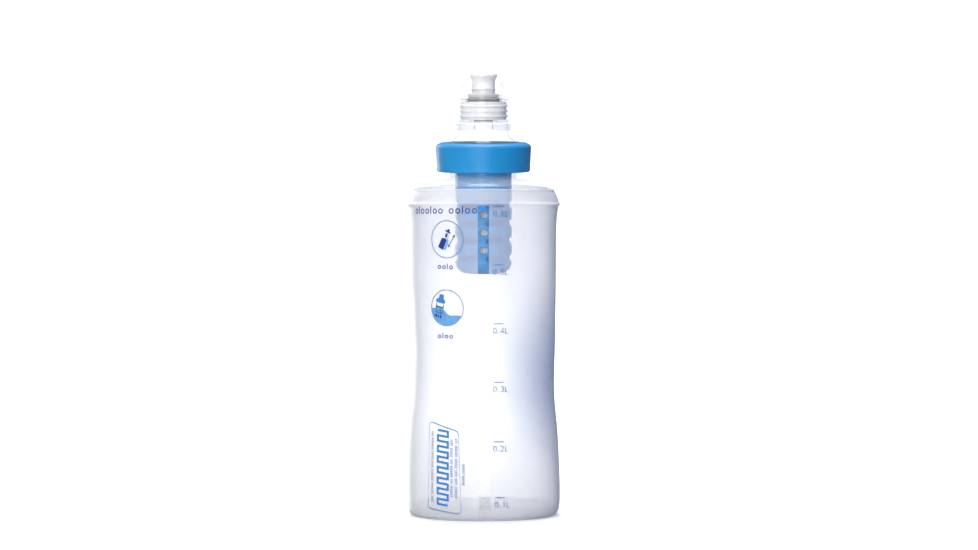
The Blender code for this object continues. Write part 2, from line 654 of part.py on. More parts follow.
def cap_ring(finish, body):
    """Ring that snaps in the nozzle's groove, with a strap up the back to the cap's hinge."""
    ring = turned("cap_ring", ring_outline(CAP_RING_BORE, CAP_RING_RADIUS, CAP_RING_BOTTOM,
                                           CAP_RING_TOP), finish, body)
    half = STRAP_WIDTH / 2
    cheek = HINGE_BARREL_WIDTH / 2 + GAP
    strap_top = CAP_HINGE.z - HINGE_BARREL_RADIUS - 0.5 * MM
    bm = bmesh.new()
    box(bm, (-half, 14.6 * MM, CAP_RING_BOTTOM + 0.2 * MM),
        (half, STRAP_FRONT + 0.4 * MM, CAP_RING_TOP - 0.2 * MM))
    foot = finish_object("cap_ring_strap_foot", bm, finish, body)
    bm = bmesh.new()
    box(bm, (-half, STRAP_FRONT, CAP_RING_BOTTOM + 0.4 * MM), (half, STRAP_BACK, strap_top))
    strap = finish_object("cap_ring_strap", bm, finish, body)
    boolean(ring, foot, 'UNION')
    boolean(ring, strap, 'UNION')
    for side in (-1, 1):
        bm = bmesh.new()
        near, far = sorted((side * cheek, side * half))
        box(bm, (near, STRAP_FRONT + 0.1 * MM, strap_top - 2.0 * MM),
            (far, CAP_HINGE.y + 1.4 * MM, CAP_HINGE.z + 1.4 * MM))
        ear = finish_object(f"cap_ring_cheek_{'right' if side > 0 else 'left'}", bm, finish, body)
        boolean(ring, ear, 'UNION')
    bm = bmesh.new()
    rod_along_x(bm, CAP_HINGE, HINGE_PIN_RADIUS + GAP, STRAP_WIDTH + 2 * MM)
    boolean(ring, finish_object("cap_ring_pin_hole", bm, finish, body), 'DIFFERENCE')
    return ring


def hinge_pin(finish, body):
    """Pin through the cheeks and the cap's barrel."""
    bm = bmesh.new()
    rod_along_x(bm, CAP_HINGE, HINGE_PIN_RADIUS, HINGE_PIN_LENGTH, 12)
    return finish_object("hinge_pin", bm, finish, body)


def flip_cap(finish, body):
    """Clear hat over the spout: crown, shoulder and brim, with a hinge barrel at the back."""
    wall = 0.9 * MM
    outline = [(0.0, CAP_TOP), (CAP_CROWN_RADIUS - 0.5 * MM, CAP_TOP),
               (CAP_CROWN_RADIUS, CAP_TOP - 0.5 * MM), (9.2 * MM, 221.6 * MM),
               (9.7 * MM, 219.6 * MM), (10.4 * MM, 218.4 * MM), (12.7 * MM, 217.6 * MM),
               (CAP_BRIM_RADIUS, 216.2 * MM), (CAP_BRIM_RADIUS, CAP_BRIM_BOTTOM),
               (12.4 * MM, CAP_BRIM_BOTTOM), (12.0 * MM, 216.4 * MM), (9.9 * MM, 217.3 * MM),
               (8.6 * MM, 219.4 * MM), (CAP_CROWN_RADIUS - wall, CAP_TOP - 2 * wall),
               (CAP_CROWN_RADIUS - 1.2 * wall, CAP_TOP - wall), (0.0, CAP_TOP - wall)]
    cap = turned("flip_cap", outline[::-1], finish, body)
    bm = bmesh.new()
    box(bm, (-HINGE_BARREL_WIDTH / 2, 12.9 * MM, CAP_HINGE.z - 0.5 * MM),
        (HINGE_BARREL_WIDTH / 2, CAP_HINGE.y, CAP_HINGE.z + 0.7 * MM))
    boolean(cap, finish_object("flip_cap_tongue", bm, finish, body), 'UNION')
    bm = bmesh.new()
    rod_along_x(bm, CAP_HINGE, HINGE_BARREL_RADIUS, HINGE_BARREL_WIDTH)
    boolean(cap, finish_object("flip_cap_barrel", bm, finish, body), 'UNION')
    bm = bmesh.new()
    rod_along_x(bm, CAP_HINGE, HINGE_PIN_RADIUS + GAP, HINGE_BARREL_WIDTH + 2 * MM)
    boolean(cap, finish_object("flip_cap_pin_hole", bm, finish, body), 'DIFFERENCE')
    return cap


def build():
    clear_scene()
    film = material("frosted_film", (0.93, 0.94, 0.98), 0.45, alpha=0.55)
    moulding = material("milky_moulding", (0.94, 0.94, 0.93), 0.35, alpha=0.6)
    clear = material("clear_plastic", (0.95, 0.96, 0.97), 0.15, alpha=0.45)
    blue = material("blue_plastic", (0.06, 0.27, 0.58), 0.35)
    silicone = material("milky_silicone", (0.86, 0.85, 0.84), 0.4)
    seal = material("seal_rubber", (0.75, 0.76, 0.77), 0.5)
    resin = material("potting_resin", (0.93, 0.91, 0.84), 0.4)
    fibre = material("white_fibre", (0.95, 0.95, 0.95), 0.6)

    flask = joint_frame("flask_frame", (0.0, 0.0, 0.0))
    cartridge = joint_frame("filter_frame", (0.0, 0.0, NECK_RIM), flask)
    collar_turn = joint_frame("collar_frame", (0.0, 0.0, COLLAR_BOTTOM), cartridge)
    spout_slide = joint_frame("spout_frame", (0.0, 0.0, SPOUT_FOOT), cartridge)
    ring_swivel = joint_frame("cap_ring_frame", (0.0, 0.0, CAP_RING_BOTTOM), cartridge)
    cap_hinge = joint_frame("flip_cap_frame", CAP_HINGE, ring_swivel)

    flask_film(film, flask)
    base_panel(film, flask)
    seam_strip(clear, flask)
    shoulder_and_neck(moulding, flask)
    collar(blue, collar_turn)
    neck_gasket(seal, cartridge)
    filter_head(blue, cartridge)
    filter_cage(blue, cartridge)
    potting_plug(resin, cartridge)
    fibre_bundle(fibre, cartridge)
    head_o_ring(seal, cartridge)
    nozzle_barrel(clear, cartridge)
    nozzle_floor(clear, cartridge)
    nozzle_top(clear, cartridge)
    nozzle_sleeve(moulding, cartridge)
    valve_stem(moulding, cartridge)
    spout(silicone, spout_slide)
    spout_o_ring(seal, spout_slide)
    cap_ring(clear, ring_swivel)
    hinge_pin(moulding, ring_swivel)
    flip_cap(clear, cap_hinge)


build()
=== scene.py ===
"""Looks of the collapsible water filter flask: fine meshes and procedural materials.

Outlines are in millimetres, as (radius, height) from the middle of the flask's underside. +X is
across the wide side and -Y is the printed front. Heights and radii that the CAD model sets are
read from its boxes.
"""
import math
import random

import bmesh
import bpy
from mathutils import Matrix, Vector


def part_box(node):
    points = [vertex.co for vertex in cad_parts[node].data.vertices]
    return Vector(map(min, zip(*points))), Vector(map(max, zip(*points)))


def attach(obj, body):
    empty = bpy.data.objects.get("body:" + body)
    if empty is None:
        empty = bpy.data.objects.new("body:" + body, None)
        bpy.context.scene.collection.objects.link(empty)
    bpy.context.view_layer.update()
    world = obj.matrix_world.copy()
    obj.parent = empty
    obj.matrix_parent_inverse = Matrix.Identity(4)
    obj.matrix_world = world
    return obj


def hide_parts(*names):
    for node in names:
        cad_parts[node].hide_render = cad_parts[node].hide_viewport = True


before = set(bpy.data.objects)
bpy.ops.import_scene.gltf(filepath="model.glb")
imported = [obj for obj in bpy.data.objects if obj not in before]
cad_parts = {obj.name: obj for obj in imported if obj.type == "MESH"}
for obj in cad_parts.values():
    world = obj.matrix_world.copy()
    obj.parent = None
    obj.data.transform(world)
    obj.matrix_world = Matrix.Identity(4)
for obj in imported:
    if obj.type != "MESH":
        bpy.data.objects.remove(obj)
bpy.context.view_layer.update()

MM = 0.001
FRONT = -math.pi / 2
TURNED_SEGMENTS = 96
SMALL_SEGMENTS = 48
SMOOTH_BELOW = math.radians(38)

# Film: an oval tube. Stations are (height, half width) up its outer side, below the weld lip.
OVAL = 0.9
FILM_WALL = 0.7
FILM_STATIONS = ((0.0, 34.4), (0.6, 36.2), (1.9, 37.5), (5.5, 38.4), (12.0, 38.6), (30.0, 38.1),
                 (45.0, 37.4), (58.0, 36.4), (72.0, 35.8), (90.0, 35.8), (112.0, 36.35),
                 (135.0, 36.65), (150.0, 37.0), (155.0, 37.6), (156.5, 37.9), (157.2, 38.4))
WELD_LIP = (38.7, 157.8)
SEAM_BOW = 1.6
SEAM_BOW_START = 120.0
SEAM_HALF_WIDTH = 2.75
SEAM_DRIFT = 1.0
SEAM_DRIFT_END = 45.0


# ---------------- mesh helpers


def linked(name, data):
    """A new object in the scene for a mesh, lamp or camera."""
    obj = bpy.data.objects.new(name, data)
    bpy.context.scene.collection.objects.link(obj)
    return obj


def loose_mesh(bm, finish, name="loose_solid"):
    """A bmesh as a plain object, with its faces turned outwards."""
    bmesh.ops.recalc_face_normals(bm, faces=bm.faces)
    mesh = bpy.data.meshes.new(name)
    bm.to_mesh(mesh)
    bm.free()
    mesh.materials.append(finish)
    return linked(name, mesh)


def smooth_faces(mesh, limit=SMOOTH_BELOW):
    """Shade smooth, apart from edges sharper than the limit."""
    mesh.shade_smooth()
    mesh.set_sharp_from_angle(angle=limit)


def finish_mesh(name, bm, finish, body, replaces=(), limit=SMOOTH_BELOW, weighted=True):
    """Turn a bmesh into a piece that rides on a body, smooth apart from its real edges."""
    obj = loose_mesh(bm, finish, name)
    smooth_faces(obj.data, limit)
    if weighted:
        normals = obj.modifiers.new("weighted_normals", 'WEIGHTED_NORMAL')
        normals.keep_sharp = True
    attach(obj, body)
    if replaces:
        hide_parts(*replaces)
    return obj


def fillet(corners, radius=0.3, steps=4):
    """Round the corners of a closed outline. A corner may carry its own radius as a third value."""
    count = len(corners)
    path = []
    for i, corner in enumerate(corners):
        here = Vector(corner[:2])
        before = Vector(corners[i - 1][:2])
        after = Vector(corners[(i + 1) % count][:2])
        reach = corner[2] if len(corner) > 2 else radius
        to_before = before - here
        to_after = after - here
        straight = to_before.angle(to_after) > math.radians(172)
        if reach == 0.0 or here.x == 0.0 or straight:
            path.append(tuple(here))
            continue
        cut = min(reach / math.tan(to_before.angle(to_after) / 2),
                  0.45 * to_before.length, 0.45 * to_after.length)
        start = here + to_before.normalized() * cut
        end = here + to_after.normalized() * cut
        for step in range(steps + 1):
            t = step / steps
            path.append(tuple(start * (1 - t) ** 2 + here * 2 * t * (1 - t) + end * t ** 2))
    return path


def arc(centre, radius, start, end, steps):
    """Points on an arc from start to end degrees."""
    angles = [math.radians(start + (end - start) * i / steps) for i in range(steps + 1)]
    return [(centre[0] + radius * math.cos(a), centre[1] + radius * math.sin(a)) for a in angles]


def on_cylinder(radius, angle, height):
    return Vector((radius * math.cos(angle), radius * math.sin(angle), height))


def skin_sections(bm, sections):
    """Join equal loops of vertices into a closed skin, with a face over each end."""
    for here, there in zip(sections, sections[1:]):
        for i in range(len(here)):
            j = (i + 1) % len(here)
            bm.faces.new((here[i], here[j], there[j], there[i]))
    bm.faces.new(sections[0])
    bm.faces.new(sections[-1])


def turned_bmesh(outline, segments=TURNED_SEGMENTS, shape=on_cylinder):
    """Turn a closed outline about Z. shape places a point given as (radius, angle, height)."""
    bm = bmesh.new()
    rings = []
    for radius, height in outline:
        ring = []
        for i in range(segments):
            angle = 2 * math.pi * i / segments
            ring.append(bm.verts.new(shape(radius, angle, height) * MM))
            if radius == 0.0:
                ring = ring * segments
                break
        rings.append(ring)
    for lower, upper in zip(rings, rings[1:] + rings[:1]):
        for i in range(segments):
            j = (i + 1) % segments
            corners = list(dict.fromkeys((lower[i], lower[j], upper[j], upper[i])))
            if len(corners) > 2:
                bm.faces.new(corners)
    return bm


def turned(name, outline, finish, body, replaces=(), segments=TURNED_SEGMENTS,
           shape=on_cylinder):
    """A finished piece turned from an outline."""
    bm = turned_bmesh(outline, segments, shape)
    return finish_mesh(name, bm, finish, body, replaces)


def join_solids(obj, parts, operation='UNION'):
    """Join closed solids into obj, or cut them from it, and keep only the result."""
    for part in parts:
        step = obj.modifiers.new("join", 'BOOLEAN')
        step.operation = operation
        step.object = part
        step.solver = 'EXACT'
        obj.modifiers.move(len(obj.modifiers) - 1, 0)
        with bpy.context.temp_override(object=obj):
            bpy.ops.object.modifier_apply(modifier=step.name)
        bpy.data.objects.remove(part, do_unlink=True)
    smooth_faces(obj.data)


def soft_box(low, high, edge, finish):
    """A box with rounded edges, between two corners in millimetres."""
    size = (Vector(high) - Vector(low)) * MM
    middle = (Vector(high) + Vector(low)) / 2 * MM
    bm = bmesh.new()
    place = Matrix.Translation(middle) @ Matrix.Diagonal((*size, 1.0))
    bmesh.ops.create_cube(bm, size=1.0, matrix=place)
    bmesh.ops.bevel(bm, geom=bm.edges[:], offset=edge * MM, segments=3, profile=0.5, affect='EDGES')
    return loose_mesh(bm, finish)


def rod_along_x(centre, radius, length, edge, finish, segments=32):
    """A round rod along X with rounded ends."""
    half = length / 2
    outline = [(0.0, -half), (radius - edge, -half), (radius, -half + edge), (radius, half - edge),
               (radius - edge, half), (0.0, half)]
    bm = turned_bmesh(outline, segments)
    bmesh.ops.transform(bm, matrix=Matrix.Translation(Vector(centre) * MM)
                        @ Matrix.Rotation(math.pi / 2, 4, 'Y'), verts=bm.verts)
    return loose_mesh(bm, finish)


def thread_ridge(root, tip, start, start_angle, root_width, tip_width, finish,
                 lead=4.0, turns=1.125):
    """A screw thread's ridge of trapezoid section, fading in and out at its ends."""
    bm = bmesh.new()
    steps = int(TURNED_SEGMENTS * turns)
    fade_steps = 12
    sections = []
    for i in range(steps + 1):
        angle = start_angle + 2 * math.pi * turns * i / steps
        height = start + lead * turns * i / steps
        fade = min(i, steps - i, fade_steps) / fade_steps
        strength = 0.12 + 0.88 * math.sin(fade * math.pi / 2)
        reach = root + (tip - root) * strength
        near = root + (reach - root) * 0.8
        across = ((root, -root_width / 2), (near, -tip_width * 0.62), (reach, -tip_width * 0.36),
                  (reach, tip_width * 0.36), (near, tip_width * 0.62), (root, root_width / 2))
        sections.append([bm.verts.new(on_cylinder(r, angle, height + dz) * MM) for r, dz in across])
    skin_sections(bm, sections)
    return loose_mesh(bm, finish)


# ---------------- materials


class Nodes:
    """Short ways to add and link shader nodes in one tree."""

    def __init__(self, tree):
        self.tree = tree
        tree.nodes.clear()

    def add(self, kind, settings=None, **inputs):
        node = self.tree.nodes.new(kind)
        for key, value in (settings or {}).items():
            setattr(node, key, value)
        for key, value in inputs.items():
            self.put(node.inputs[key.replace("_", " ")], value)
        return node

    def put(self, socket, value):
        if isinstance(value, bpy.types.NodeSocket):
            self.tree.links.new(value, socket)
        elif isinstance(value, tuple) and len(value) == 3 and socket.type == 'RGBA':
            socket.default_value = (*value, 1.0)
        else:
            socket.default_value = value

    def math(self, operation, *values):
        node = self.tree.nodes.new('ShaderNodeMath')
        node.operation = operation
        for socket, value in zip(node.inputs, values):
            self.put(socket, value)
        return node.outputs[0]

    def mix_colour(self, factor, first, second):
        node = self.tree.nodes.new('ShaderNodeMix')
        node.data_type = 'RGBA'
        self.put(node.inputs[0], factor)
        self.put(node.inputs[6], first)
        self.put(node.inputs[7], second)
        return node.outputs[2]

    def mix_shader(self, factor, first, second):
        node = self.tree.nodes.new('ShaderNodeMixShader')
        self.put(node.inputs[0], factor)
        self.put(node.inputs[1], first)
        self.put(node.inputs[2], second)
        return node.outputs[0]

    def noise(self, scale, detail=3.0, roughness=0.55, stretch=(1.0, 1.0, 1.0)):
        """Noise over the object's own coordinates; scale is in features per metre."""
        place = self.add('ShaderNodeTexCoord')
        spread = self.add('ShaderNodeMapping', Vector=place.outputs["Object"], Scale=stretch)
        made = self.add('ShaderNodeTexNoise', Vector=spread.outputs[0], Scale=scale, Detail=detail,
                        Roughness=roughness)
        return made.outputs["Fac"]

    def ranged(self, value, low, high, start=0.0, end=1.0, smooth=False):
        settings = {"clamp": True, "interpolation_type": 'SMOOTHSTEP' if smooth else 'LINEAR'}
        node = self.add('ShaderNodeMapRange', settings, Value=value)
        node.inputs["From Min"].default_value = start
        node.inputs["From Max"].default_value = end
        self.put(node.inputs["To Min"], low)
        self.put(node.inputs["To Max"], high)
        return node.outputs[0]

    def bump(self, height, strength, distance):
        node = self.add('ShaderNodeBump', Strength=strength, Distance=distance * MM, Height=height)
        return node.outputs[0]

    def output(self, surface):
        node = self.tree.nodes.new('ShaderNodeOutputMaterial')
        self.put(node.inputs["Surface"], surface)


def new_tree(name):
    made = bpy.data.materials.new(name)
    made.use_nodes = True
    return made, Nodes(made.node_tree)


def scaled(colour, factor):
    return tuple(min(c * factor, 1.0) for c in colour)


def moulded_plastic(name, colour, roughness, grain=0.5, mottle=0.06, scatter=0.0):
    """Solid moulded plastic: fine grain, slow colour drift and slightly uneven gloss."""
    made, n = new_tree(name)
    drift = n.noise(60.0, 3.0)
    tint = n.mix_colour(n.ranged(drift, 0.0, 1.0, 0.3, 0.7), scaled(colour, 1 - mottle),
                        scaled(colour, 1 + mottle))
    fine = n.noise(2600.0, 2.0)
    worn = n.ranged(n.noise(240.0, 4.0), roughness * 0.85, roughness * 1.15, 0.3, 0.7)
    shader = n.add('ShaderNodeBsdfPrincipled', Base_Color=tint, Roughness=worn,
                   Normal=n.bump(fine, grain, 0.02))
    shader.inputs["IOR"].default_value = 1.49
    if scatter:
        shader.inputs["Subsurface Weight"].default_value = scatter
        shader.inputs["Subsurface Radius"].default_value = (0.6, 0.9, 1.4)
        shader.inputs["Subsurface Scale"].default_value = 2.0 * MM
    n.output(shader.outputs[0])
    return made


def depth_at_angle(n, least=0.09):
    """How many times longer the way through a thin wall is at the angle it is seen at. least is
    the cosine at which it stops growing: larger for thick walls, whose rims scatter less."""
    facing = n.add('ShaderNodeLayerWeight', Blend=0.5).outputs["Facing"]
    cosine = n.math('MAXIMUM', n.math('SUBTRACT', 1.0, facing), least)
    return n.math('DIVIDE', 1.0, cosine)


def mirror_share(n, straight, grazing):
    """Share of light a plastic face mirrors, rising at grazing angles on both its sides."""
    facing = n.add('ShaderNodeLayerWeight', Blend=0.5).outputs["Facing"]
    rise = n.math('POWER', facing, 5.0)
    return n.math('MULTIPLY_ADD', rise, grazing, straight)


# Painted shade on the right of the film's waist: where it lies, and the darker lilac blue it tints
# the film.
WAIST_SHADE_HEIGHT = 0.072
WAIST_SHADE_REACH = 0.060
WAIST_SHADE_START, WAIST_SHADE_END = 0.003, 0.036
WAIST_SHADE_COLOUR = (0.60, 0.67, 0.84)


def right_waist_shade(n):
    """1 where shade is painted on the right of the waist, 0 elsewhere. In metres."""
    place = n.add('ShaderNodeTexCoord')
    axes = n.add('ShaderNodeSeparateXYZ', Vector=place.outputs["Object"])
    off = n.math('ABSOLUTE', n.math('SUBTRACT', axes.outputs["Z"], WAIST_SHADE_HEIGHT))
    level = n.ranged(off, 1.0, 0.0, 0.0, WAIST_SHADE_REACH, smooth=True)
    side = n.ranged(axes.outputs["X"], 0.0, 1.0, WAIST_SHADE_START, WAIST_SHADE_END)
    return n.math('MULTIPLY', level, side)


def frosted(name, colour, haze, roughness, glow=0.3, clear_haze=None, cloud=0.06, grain=0.12,
            shine=0.035, grazing=0.9, least=0.09, shade_strength=0.0):
    """Translucent film or moulding. haze is how much one face scatters when seen straight on,
    and clear_haze is the same where the mesh's clear_weld attribute is 1. On the right of the
    waist the film scatters more, by the last argument's share, and is tinted darker: painted shade."""
    made, n = new_tree(name)
    clouds = n.ranged(n.noise(38.0, 4.0), 1.0 - cloud, 1.0 + cloud, 0.2, 0.8)
    amount = n.math('MULTIPLY', clouds, haze)
    # Painted shade: on the right of the waist the film scatters more and its colour is mixed
    # towards a darker lilac blue.
    if shade_strength:
        shaded_share = right_waist_shade(n)
        amount = n.math('MULTIPLY', amount, n.math('MULTIPLY_ADD', shaded_share, shade_strength, 1.0))
        colour = n.mix_colour(shaded_share, colour, WAIST_SHADE_COLOUR)
    if clear_haze is not None:
        in_weld = n.add('ShaderNodeAttribute', {"attribute_name": "clear_weld"}).outputs["Fac"]
        amount = n.ranged(in_weld, amount, clear_haze)
    passes = n.math('POWER', n.math('SUBTRACT', 1.0, amount), depth_at_angle(n, least))
    frost = n.bump(n.noise(1400.0, 2.0), grain, 0.015)
    white = n.add('ShaderNodeBsdfDiffuse', Color=colour, Normal=frost)
    through = n.add('ShaderNodeBsdfTranslucent', Color=colour, Normal=frost)
    body = n.mix_shader(glow, white.outputs[0], through.outputs[0])
    clear = n.add('ShaderNodeBsdfTransparent', Color=(1.0, 1.0, 1.0))
    veil = n.mix_shader(passes, body, clear.outputs[0])
    shine_roughness = n.ranged(n.noise(90.0, 3.0), roughness * 0.8, roughness * 1.2, 0.2, 0.8)
    gloss = n.add('ShaderNodeBsdfGlossy', Color=(1.0, 1.0, 1.0), Roughness=shine_roughness)
    n.output(n.mix_shader(mirror_share(n, shine, grazing), veil, gloss.outputs[0]))
    return made


def clear_plastic(name, tint, haze, roughness=0.10, grazing=0.45):
    """Clear moulding: light passes through, rims darken with depth, and faces shine."""
    made, n = new_tree(name)
    depth = depth_at_angle(n)
    channels = [n.math('POWER', level, depth) for level in tint]
    mixed = n.add('ShaderNodeCombineColor', Red=channels[0], Green=channels[1], Blue=channels[2])
    clear = n.add('ShaderNodeBsdfTransparent', Color=mixed.outputs[0])
    ripple = n.bump(n.noise(160.0, 3.0, stretch=(1.0, 1.0, 0.35)), 0.3, 0.05)
    milk = n.add('ShaderNodeBsdfDiffuse', Color=(0.93, 0.94, 0.94), Normal=ripple)
    glow = n.add('ShaderNodeBsdfTranslucent', Color=(0.93, 0.94, 0.94))
    cloud = n.mix_shader(0.5, milk.outputs[0], glow.outputs[0])
    amount = n.ranged(n.noise(70.0, 4.0), haze * 0.7, haze * 1.3, 0.3, 0.7)
    body = n.mix_shader(amount, clear.outputs[0], cloud)
    worn = n.ranged(n.noise(300.0, 4.0), roughness * 0.6, roughness * 1.5, 0.3, 0.7)
    shine = n.add('ShaderNodeBsdfGlossy', Color=(1.0, 1.0, 1.0), Normal=ripple, Roughness=worn)
    n.output(n.mix_shader(mirror_share(n, 0.03, grazing), body, shine.outputs[0]))
    return made


def ink(name, colour):
    """Screen-printed ink: slightly uneven cover and a satin face."""
    made, n = new_tree(name)
    cover = n.noise(900.0, 4.0)
    tint = n.mix_colour(n.ranged(cover, 0.0, 1.0, 0.35, 0.75), colour, scaled(colour, 1.35))
    shader = n.add('ShaderNodeBsdfPrincipled', Base_Color=tint, Roughness=0.45,
                   Normal=n.bump(cover, 0.2, 0.02))
    n.output(shader.outputs[0])
    return made


def hollow_fibre(name):
    """White membrane fibre: matt, each strand a little different in tone at random.
    Their blue-grey cast is painted shade, standing in for the dim blue light inside the cage.
    """
    made, n = new_tree(name)
    strand = n.noise(700.0, 2.0, stretch=(1.0, 1.0, 0.02))
    # Random strand tone, whose darker blue-grey end is painted shade for the dim blue light inside
    # the cage.
    tint = n.mix_colour(n.ranged(strand, 0.0, 1.0, 0.3, 0.7), (0.74, 0.84, 0.93), (0.97, 0.99, 1.0))
    shader = n.add('ShaderNodeBsdfPrincipled', Base_Color=tint, Roughness=0.55,
                   Normal=n.bump(n.noise(4000.0, 2.0), 0.3, 0.02))
    shader.inputs["Subsurface Weight"].default_value = 0.3
    shader.inputs["Subsurface Radius"].default_value = (1.0, 1.0, 1.0)
    shader.inputs["Subsurface Scale"].default_value = 0.5 * MM
    n.output(shader.outputs[0])
    return made


# ---------------- film surface


def smooth_step(value):
    value = min(max(value, 0.0), 1.0)
    return value * value * (3 - 2 * value)


def film_half_width(height):
    """Half width of the film's outer side, smooth through the stations."""
    stations = FILM_STATIONS
    if height <= stations[0][0]:
        return stations[0][1]
    for i in range(len(stations) - 1):
        low, narrow = stations[i]
        high, wide = stations[i + 1]
        if height <= high:
            before = stations[max(i - 1, 0)]
            after = stations[min(i + 2, len(stations) - 1)]
            span = high - low
            leave = (wide - before[1]) / (high - before[0]) * span
            arrive = (after[1] - narrow) / (after[0] - low) * span
            t = (height - low) / span
            return ((2 * t ** 3 - 3 * t ** 2 + 1) * narrow + (t ** 3 - 2 * t ** 2 + t) * leave
                    + (3 * t ** 2 - 2 * t ** 3) * wide + (t ** 3 - t ** 2) * arrive)
    return stations[-1][1]


def seam_bow(height):
    """How far the front and back of a level line rise above its sides."""
    climb = (height - SEAM_BOW_START) / (WELD_LIP[1] - SEAM_BOW_START)
    return SEAM_BOW * min(max(climb, 0.0), 1.0) ** 2


def softness(angle, height):
    """The soft film's own unevenness: how far a point stands out from the even oval."""
    held = smooth_step((150.0 - height) / 25.0) * smooth_step((height - 3.0) / 20.0)
    wave = 0.20 * math.sin(2 * angle + height / 31.0 + 0.6) * math.cos(height / 38.0)
    wave += 0.09 * math.sin(5 * angle - height / 19.0) + 0.03 * math.sin(9 * angle + height / 11.0)
    left = max(-math.cos(angle), 0.0) ** 2 * -0.55 * math.exp(-((height - 82.0) / 20.0) ** 2)
    right = max(math.cos(angle), 0.0) ** 2 * (0.35 * math.exp(-((height - 88.0) / 16.0) ** 2)
                                              - 0.30 * math.exp(-((height - 62.0) / 14.0) ** 2))
    return held * (wave + left + right)


def seam_drift(height):
    """How far the weld wanders to the right near the base."""
    return SEAM_DRIFT * smooth_step((SEAM_DRIFT_END - height) / SEAM_DRIFT_END)


def film_shape(radius, angle, height):
    """Place a point of the film, given the even tube's radius, with its softness and bow."""
    radius += softness(angle, height)
    lift = seam_bow(height) * math.sin(angle) ** 2
    return Vector((radius * math.cos(angle), OVAL * radius * math.sin(angle), height + lift))


def angle_at(reach, half_width):
    """Direction on the oval of a point reached by going that far round from the front."""
    angle = 0.0
    steps = 24
    for _ in range(steps):
        slope = math.sqrt(math.cos(angle) ** 2 + (OVAL * math.sin(angle)) ** 2) * half_width
        angle += reach / steps / slope
    return FRONT + angle


def film_point(reach, height, out=0.0):
    """A point on the film's outer side: reach millimetres round from the front, out off it."""
    half_width = film_half_width(height)
    angle = angle_at(reach, half_width)
    place = film_shape(half_width, angle, height)
    normal = Vector((OVAL * math.cos(angle), math.sin(angle), 0.0)).normalized()
    return place + normal * out


def film_columns():
    """Reaches round the oval, close together at the weld's two edges."""
    half_turn = 0.5 * math.pi * (film_half_width(100.0) * (1 + OVAL))
    near = [0.0, 0.9, 1.8, 2.35, 2.55, 2.7, 2.85, 3.0, 3.2, 3.8, 4.8]
    count = 62
    far = [4.8 + (half_turn - 4.8) * i / count for i in range(1, count)]
    right = near + far
    return [-r for r in reversed(right[1:])] + right + [half_turn]


def weld_step(offset):
    """Height of the lap weld's ridge at a distance from the weld's middle."""
    edge = abs(abs(offset) - SEAM_HALF_WIDTH)
    tall = 0.22 if offset < 0 else 0.12
    return tall * max(1 - edge / 0.3, 0.0) - (0.08 if abs(offset) < SEAM_HALF_WIDTH else 0.0)


def flask_film(finish, body):
    """The film tube: an outer and an inner skin, joined at the foot and at the top."""
    levels = [0.6, 1.2, 1.9, 3.0, 4.2, 5.5, 7.0] + [9.0 + 3.0 * i for i in range(49)]
    outer = [(film_half_width(h), h) for h in [0.0] + levels]
    outer = [(34.4, 0.0), (35.3, 0.12)] + [p for p in outer[1:] if p[1] < 155.5]
    lip = [(37.9, 156.5), (38.35, 157.1), (38.7, 157.6), (38.72, 157.9), (38.5, 158.25),
           (38.1, 158.6), (37.75, 159.6)]
    band = [(37.3, 161.0), (36.6, 162.6), (35.95, 164.0), (35.75, 164.4), (35.78, 164.75),
            (35.6, 165.0), (35.3, 165.1)]
    outer += lip + band
    inner = []
    for i, (radius, height) in enumerate(outer):
        before = Vector(outer[max(i - 1, 0)])
        after = Vector(outer[min(i + 1, len(outer) - 1)])
        along = (after - before).normalized()
        inner.append((radius - along.y * FILM_WALL, height + along.x * FILM_WALL))
    inner = [(r, h) for r, h in inner if h < 164.6]
    columns = film_columns()[:-1]
    bm = bmesh.new()
    clear = bm.verts.layers.float.new("clear_weld")
    skins = []
    for skin, path in enumerate((outer, inner[::-1])):
        for radius, height in path:
            ring = []
            for reach in columns:
                near = math.exp(-(reach / 14.0) ** 2)
                angle = angle_at(reach + seam_drift(height) * near, film_half_width(100.0))
                step = weld_step(reach) if not skin and 6.0 < height < 157.0 else 0.0
                vert = bm.verts.new(film_shape(radius + step, angle, height) * MM)
                in_weld = abs(reach) < SEAM_HALF_WIDTH and height < 157.0
                vert[clear] = 1.0 if in_weld else 0.0
                ring.append(vert)
            skins.append(ring)
    for lower, upper in zip(skins, skins[1:] + skins[:1]):
        for i in range(len(columns)):
            j = (i + 1) % len(columns)
            bm.faces.new((lower[i], lower[j], upper[j], upper[i]))
    return finish_mesh("flask_film_tube", bm, finish, body, ["flask_film"], weighted=False)


def base_panel(finish, body):
    """Floor panel: flat underside, and a rim that turns up inside the film's foot."""
    shift = FILM_WALL + 0.45
    outline = [(0.0, 0.0), (20.0, 0.0), (33.7, 0.0, 0.3), (34.0, 1.0, 0.3)]
    outline += [(film_half_width(h) - shift * min(h / 2.0, 1.0) - 0.2, h + 0.35)
                for h in (1.2, 1.9, 3.0, 4.2, 5.5)]
    outline += [(film_half_width(h) - shift - 0.9, h + 0.35) for h in (5.5, 4.2, 3.0)]
    outline += [(34.2, 2.2, 0.3), (32.6, 1.5, 0.5), (31.0, 0.9, 0.5), (20.0, 0.9), (0.0, 0.9)]

    def oval(radius, angle, height):
        return Vector((radius * math.cos(angle), OVAL * radius * math.sin(angle), height))

    return turned("flask_base_panel", fillet(outline), finish, body, ["base_panel"],
                  segments=128, shape=oval)


